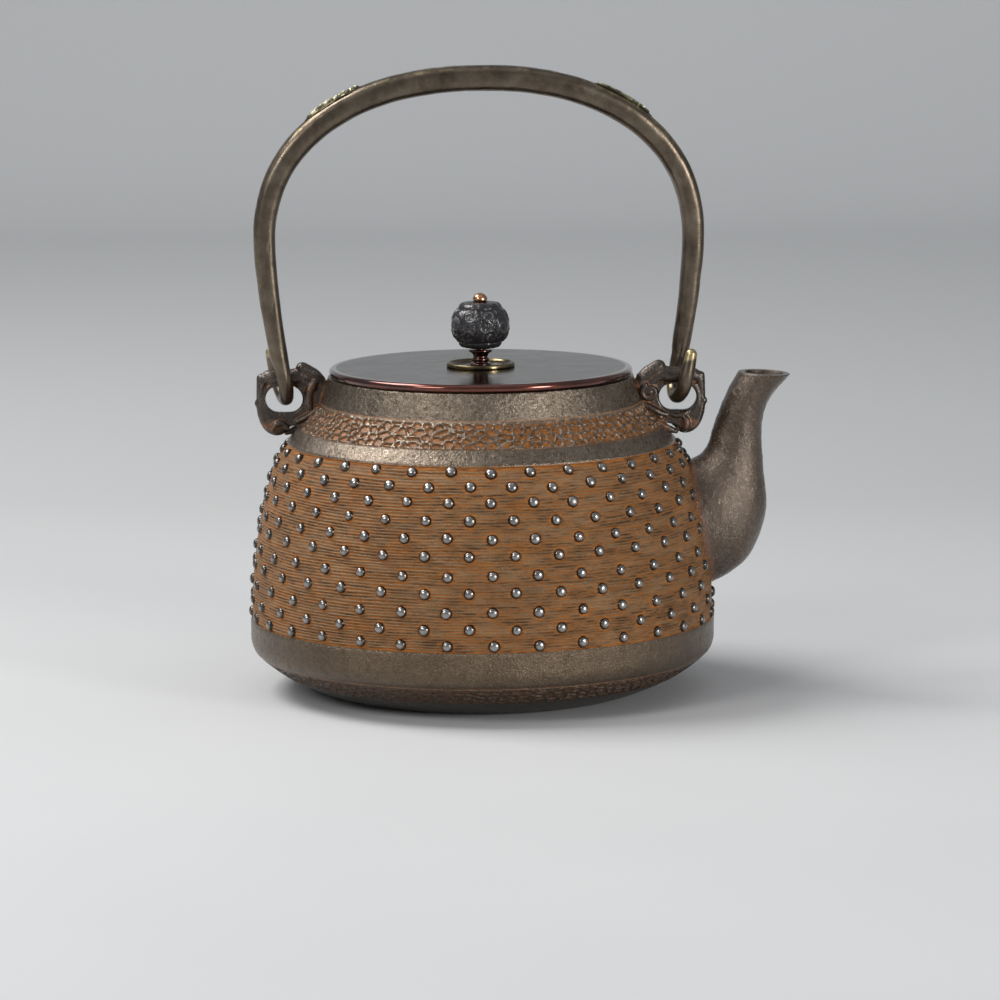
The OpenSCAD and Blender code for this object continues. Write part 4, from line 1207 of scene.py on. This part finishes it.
overlays = {}
rings, relief = face_plate(59 * MM, 40 * MM, 6.4 * MM, 1.2 * MM, 0.8 * MM, cloud_scroll, 121)
for side, turned_round in (("overlay_right", (1, 1, 1)), ("overlay_left", (-1, -1, 1))):
    overlay_rings = (rings * np.array(turned_round))[:, ::-1]
    overlays[side] = rings_mesh(side + "_looks", overlay_rings, False, {"relief": relief[:, ::-1]}, 50)


def even(s, v):
    return np.full_like(v, 0.8)


inlay_parts, inlay_relief = [], []
for u in (-25, -17.5, -10, 10, 17.5, 25):
    rings, relief = face_plate((u + 2.5) * MM, (u - 2.5) * MM, 1.6 * MM, 0.15 * MM, 0.5 * MM, even, 131)
    inlay_parts.append(with_ends(rings[:, ::-1]))
    inlay_relief.append(np.concatenate([relief[:, ::-1].ravel(), [0.6, 0.6]]))
inlay_me = make_mesh("inlay", *joined(inlay_parts), {"relief": np.concatenate(inlay_relief)}, 50)

# ---------------------------------------------------------------- port into the spout
PORT_HALF, PORT_LOW, PORT_HIGH = 9 * MM, 51 * MM, 66 * MM
port_outline = arc((0, PORT_HIGH), PORT_HALF, 0, 180, 23) + arc((0, PORT_LOW), PORT_HALF, 180, 360, 23)
port_rings = np.array([[[x, y, z] for y, z in port_outline] for x in (66 * MM, 96 * MM)])
cutter = bpy.data.objects.new("port", rings_mesh("port", port_rings, False))
scene.collection.objects.link(cutter)


def with_port(me):
    """The mesh with the spout's port cut through it."""
    ob = bpy.data.objects.new("wall", me)
    scene.collection.objects.link(ob)
    mod = ob.modifiers.new("port", "BOOLEAN")
    mod.operation = "DIFFERENCE"
    mod.solver = "MANIFOLD"
    mod.object = cutter
    bpy.context.view_layer.update()
    made = bpy.data.meshes.new_from_object(ob.evaluated_get(bpy.context.evaluated_depsgraph_get()))
    bpy.data.objects.remove(ob)
    return made


wall_low_me, wall_high_me = with_port(wall_low_me), with_port(wall_high_me)
bpy.data.objects.remove(cutter)

# ---------------------------------------------------------------- pieces
add_piece("body_base", base_me, "kettle", ["kettle_body"], band_mat)
add_piece("body_wall_low", wall_low_me, "kettle", ["kettle_body"], field_mat)
add_piece("body_wall_high", wall_high_me, "kettle", ["kettle_body"], field_mat)
add_piece("body_studs", studs_me, "kettle", ["kettle_body"], stud_mat)
add_piece("body_shoulder", top_me, "kettle", ["kettle_body"], network_mat)
add_piece("spout_looks", spout_me, "kettle", ["spout"], spout_mat)
add_piece("lug_right_looks", lug_right_me, "kettle", ["lug_right"], lug_mat)
add_piece("lug_left_looks", lug_left_me, "kettle", ["lug_left"], lug_mat)
add_piece("lid_plate_looks", lid_me, "lid", ["lid_plate"], lid_mat)
add_piece("lid_ring_looks", ring_me, "lid", ["lid_ring"], ring_mat)
add_piece("knob_dish_looks", dish_me, "lid", ["knob_dish"], dish_mat)
add_piece("knob_stem_looks", stem_me, "lid", ["knob_stem"], stem_mat)
add_piece("knob_pin_looks", pin_me, "lid", ["knob_pin"], pin_mat)
add_piece("knob_washer_looks", washer_me, "lid", ["knob_washer"], pin_mat)
add_piece("knob_bead_looks", bead_me, "knob", ["knob_bead"], bead_mat)
add_piece("handle_looks", bar_me, "handle", ["handle_bail"], handle_mat)
for side in ("overlay_left", "overlay_right"):
    add_piece(side + "_looks", overlays[side], "handle", [side], overlay_mat)
add_piece("handle_inlay_looks", inlay_me, "handle", ["handle_inlay"], inlay_mat)

lid_me.materials.append(rim_mat)
face_centres = np.zeros(len(lid_me.polygons) * 3, np.float32)
lid_me.polygons.foreach_get("center", face_centres)
on_rim = np.hypot(*face_centres.reshape(-1, 3)[:, :2].T) > rim_c[0] - 0.9 * MM
lid_me.polygons.foreach_set("material_index", on_rim.astype(np.int32))

# ---------------------------------------------------------------- stage
FLOOR_HALF, FLOOR_FRONT, BACK_Y, SWEEP_R, BACK_TOP = 7.0, -6.0, 1.7, 0.5, 3.2
floor_line = np.array([[FLOOR_FRONT, 0]] + arc((BACK_Y, SWEEP_R), SWEEP_R, -90, 0, 23)
                      + [[BACK_Y + SWEEP_R, BACK_TOP]])
floor_vertices = np.vstack([np.column_stack([np.full(len(floor_line), x), floor_line])
                            for x in (-FLOOR_HALF, FLOOR_HALF)])
k, m = np.arange(len(floor_line) - 1), len(floor_line)
floor_me = make_mesh("floor", floor_vertices, [np.stack([k, k + m, k + m + 1, k + 1], -1)], None, 80)
floor = bpy.data.objects.new("floor", floor_me)
scene.collection.objects.link(floor)
n = Nodes("floor_paper")
tone = n.mix(n.span(n.noise(3, 3, 0.5), 0.3, 0.7), (0.56, 0.565, 0.575), (0.60, 0.605, 0.61))
# Painted shade: a darker band on the floor just behind the kettle.
tone = n.mix(n.span(n.axis("Y"), 0.10, 0.45), tone, (0.505, 0.515, 0.52))
# Painted light: the far floor, sweep and backdrop are lighter, making up for the lamps' falloff with
# distance.
tone = n.mix(n.span(n.axis("Y"), 0.5, 1.9), tone, (0.66, 0.67, 0.68))
floor_me.materials.append(n.finish(tone, 0.75, 0.0, None, 0.2))

world = bpy.data.worlds.new("world")
scene.world = world
world.use_nodes = True
world.node_tree.nodes["Background"].inputs["Color"].default_value = (0.93, 0.96, 1.0, 1)
world.node_tree.nodes["Background"].inputs["Strength"].default_value = 0.32


def soft_light(name, azimuth, elevation, distance, width, height, power, tint):
    """Area light that faces the object, from angles in degrees and a distance in metres."""
    data = bpy.data.lights.new(name, "AREA")
    data.shape = "RECTANGLE"
    data.size, data.size_y, data.energy, data.color = width, height, power, tint
    ob = bpy.data.objects.new(name, data)
    scene.collection.objects.link(ob)
    az, el = math.radians(azimuth), math.radians(elevation)
    target = Vector((0, 0, 0.10))
    direction = Vector((math.sin(az) * math.cos(el), -math.cos(az) * math.cos(el), math.sin(el)))
    ob.location = target + distance * direction
    ob.rotation_mode = "QUATERNION"
    ob.rotation_quaternion = direction.to_track_quat("Z", "Y")


soft_light("window_left", -102, 54, 1.5, 0.95, 0.62, 20, (1.0, 0.99, 0.97))
soft_light("front_left", -42, 30, 1.5, 0.5, 0.42, 6, (1.0, 0.99, 0.98))
soft_light("window_right", 46, 10, 1.6, 0.36, 0.5, 11, (1.0, 0.99, 0.97))
soft_light("ceiling", 10, 80, 1.9, 1.6, 1.6, 3, (0.97, 0.98, 1.0))

scene.view_settings.view_transform = "Standard"
scene.cycles.max_bounces = 6
scene.cycles.use_denoising = True
